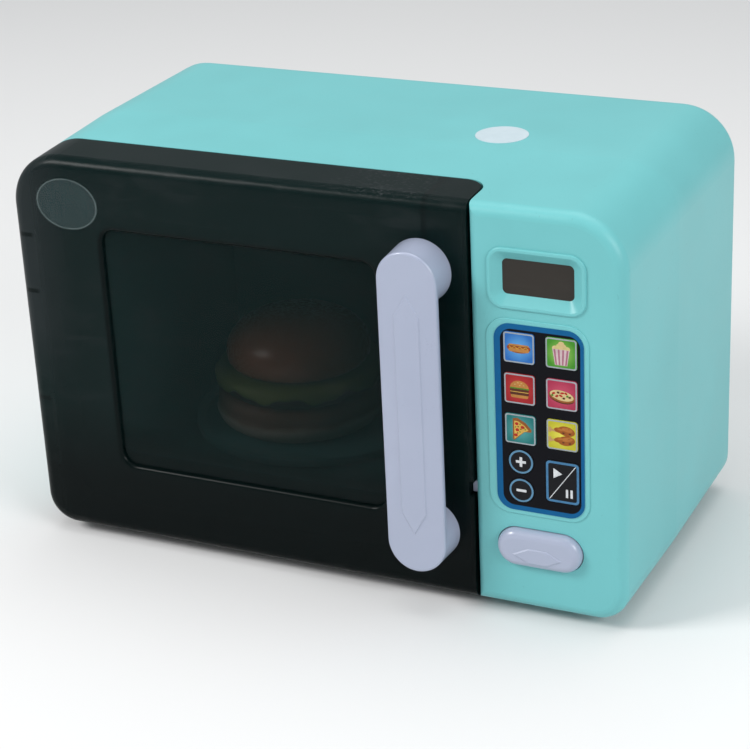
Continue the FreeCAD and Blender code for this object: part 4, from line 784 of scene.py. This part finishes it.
bunBaseLook = {
    "radius": 39.4, "crown": ((-1.4, -2.2), (-3.0, -0.6), (-6.0, 0.0)),
    "foot": ((-9.0, 0.0), (-4.5, 0.8), (-1.4, 3.2), (0.0, 6.5), (-0.6, 8.8), (-1.3, 9.6), (-1.1, 11.5)),
    "toastRise": (10.5, 13.0),
    "low": (0.42, 0.37, 0.31), "high": (0.21, 0.080, 0.036), "pore": (0.25, 0.15, 0.09),
}
x, y, z0, z1 = middle("bun_bottom")
r = bunBaseLook["radius"]
profile = [(0.0, z0)] + [(r + out, z0 + up) for out, up in bunBaseLook["foot"]]
profile += [(r + out, z1 + up) for out, up in bunBaseLook["crown"]] + [(0.0, z1)]
bunBase = turned("bunBaseVinyl", (x, y), profile)
heightBlend = [z0 + up for up in bunBaseLook["toastRise"]]
bunBase.data.materials.append(vinyl("bunCrumb", bunBaseLook, *heightBlend).material)

pattyLook = {
    "radius": 37.0, "foot": ((-4.0, 0.0), (-1.4, 0.9), (-0.2, 2.6)),
    "crown": ((-0.3, -2.4), (-1.6, -0.8), (-4.5, 0.0)),
    "lumps": ((0.008, 17, 0.0), (0.006, 29, 1.3)), "shrink": 0.012, "lumpStart": 0.7,
    "low": (0.060, 0.022, 0.014), "high": (0.080, 0.030, 0.018), "pore": (0.02, 0.008, 0.005),
}
x, y, z0, z1 = middle("patty")
r = pattyLook["radius"]
profile = [(0.0, z0)] + [(r + out, z0 + up) for out, up in pattyLook["foot"]] + [(r, (z0 + z1) / 2)]
profile += [(r + out, z1 + up) for out, up in pattyLook["crown"]] + [(0.0, z1)]
pattyVinyl = turned("pattyVinyl", (x, y), profile)
for vertex in pattyVinyl.data.vertices:
    # chopped meat leaves a lumpy rim
    angle, reach = aroundAxis(vertex, x, y, r)
    lump = sum(size * math.sin(count * angle + turn) for size, count, turn in pattyLook["lumps"])
    edge = max(0.0, reach - pattyLook["lumpStart"]) / (1 - pattyLook["lumpStart"])
    grow = 1 + (lump - pattyLook["shrink"]) * edge
    vertex.co.x = x + (vertex.co.x - x) * grow
    vertex.co.y = y + (vertex.co.y - y) * grow
pattyVinyl.data.materials.append(vinyl("pattyBrown", pattyLook, z0, z1).material)

# the lettuce's points are (share of the radius, up from the bottom) below and (share, up from the top) above
leafLook = {
    "radius": 38.9, "steps": 144,
    "below": ((0.0, 0.4), (0.55, 0.4), (0.86, 0.4), (0.95, 0.5), (0.985, -0.2), (1.0, -1.0), (1.01, -0.2)),
    "above": ((1.0, -1.6), (0.95, -0.6), (0.86, -0.4), (0.55, -0.4), (0.0, -0.4)),
    "rimStart": 0.955, "rimWidth": 0.03, "waves": 9, "ripples": 22, "rippleShare": 0.45, "rippleTurn": 0.8,
    "droop": 3.2, "hang": 0.55, "swing": 0.45, "shadeDrop": 4,
    "low": (0.120, 0.148, 0.020), "high": (0.205, 0.238, 0.050), "pore": (0.09, 0.13, 0.01),
}
x, y, z0, z1 = middle("lettuce")
r = leafLook["radius"]
profile = [(r * share, z0 + up) for share, up in leafLook["below"]]
profile += [(r * share, z1 + up) for share, up in leafLook["above"]]
leafVinyl = turned("lettuceVinyl", (x, y), profile, leafLook["steps"])
for vertex in leafVinyl.data.vertices:
    # the rim hangs in frills over the patty
    angle, reach = aroundAxis(vertex, x, y, r)
    edge = min(1.0, max(0.0, reach - leafLook["rimStart"]) / leafLook["rimWidth"])
    ripple = math.sin(leafLook["ripples"] * angle + leafLook["rippleTurn"])
    frill = math.sin(leafLook["waves"] * angle) + leafLook["rippleShare"] * ripple
    vertex.co.z -= edge * leafLook["droop"] * (leafLook["hang"] - leafLook["swing"] * frill) * mm
# the lettuce darkens towards its hanging frills: painted shade
leafVinyl.data.materials.append(vinyl("leafGreen", leafLook, z0 - leafLook["shadeDrop"], z1).material)

for piece, node, slotName in ((bunTop, "bun_top", "bun"), (bunBase, "bun_bottom", "bun"),
                              (pattyVinyl, "patty", "patty_brown"), (leafVinyl, "lettuce", "lettuce_green")):
    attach(piece, "burger")
    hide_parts(node)
print("play burger done")

# pale floor and soft studio light
stageLook = {
    "floorSize": 12, "floorColour": (0.74, 0.74, 0.74), "floorRough": 0.9, "floorSpec": 0.1,
    "skyColour": (0.95, 0.98, 1.0, 1.0), "skyPower": 0.44,
}
clearSelection()
bpy.ops.mesh.primitive_plane_add(size=stageLook["floorSize"], location=(0, 0, 0))
floor = bpy.context.object
floor.name = "studioFloor"
floorPaint = Paint("studioPaper", roughness=stageLook["floorRough"], spec=stageLook["floorSpec"],
                   colour=stageLook["floorColour"])
floor.data.materials.append(floorPaint.material)

world = bpy.data.worlds.new("studioWorld")
bpy.context.scene.world = world
world.use_nodes = True
sky = world.node_tree.nodes["Background"]
sky.inputs["Color"].default_value = stageLook["skyColour"]
sky.inputs["Strength"].default_value = stageLook["skyPower"]

lamps = {
    "keyLamp": {"place": (-1.15, -1.05, 1.25), "aim": (0, 0, 0.08), "size": 0.6, "power": 24.0,
                "tint": (1.0, 0.99, 0.98)},
    "topLamp": {"place": (0.10, 0.15, 1.5), "aim": (0, 0, 0.1), "size": 1.2, "power": 10.0,
                "tint": (1.0, 1.0, 1.0)},
    "sideLamp": {"place": (1.4, -0.7, 0.8), "aim": (0, 0, 0.1), "size": 0.8, "power": 13.0,
                 "tint": (0.97, 0.99, 1.0)},
}
for name, lamp in lamps.items():
    clearSelection()
    bpy.ops.object.light_add(type="AREA", location=lamp["place"])
    light = bpy.context.object
    light.name = name
    light.data.shape = "SQUARE"
    light.data.size = lamp["size"]
    light.data.energy = lamp["power"]
    light.data.color = lamp["tint"]
    light.rotation_euler = (Vector(lamp["aim"]) - Vector(lamp["place"])).to_track_quat("-Z", "Y").to_euler()
print("stage and lamps done")
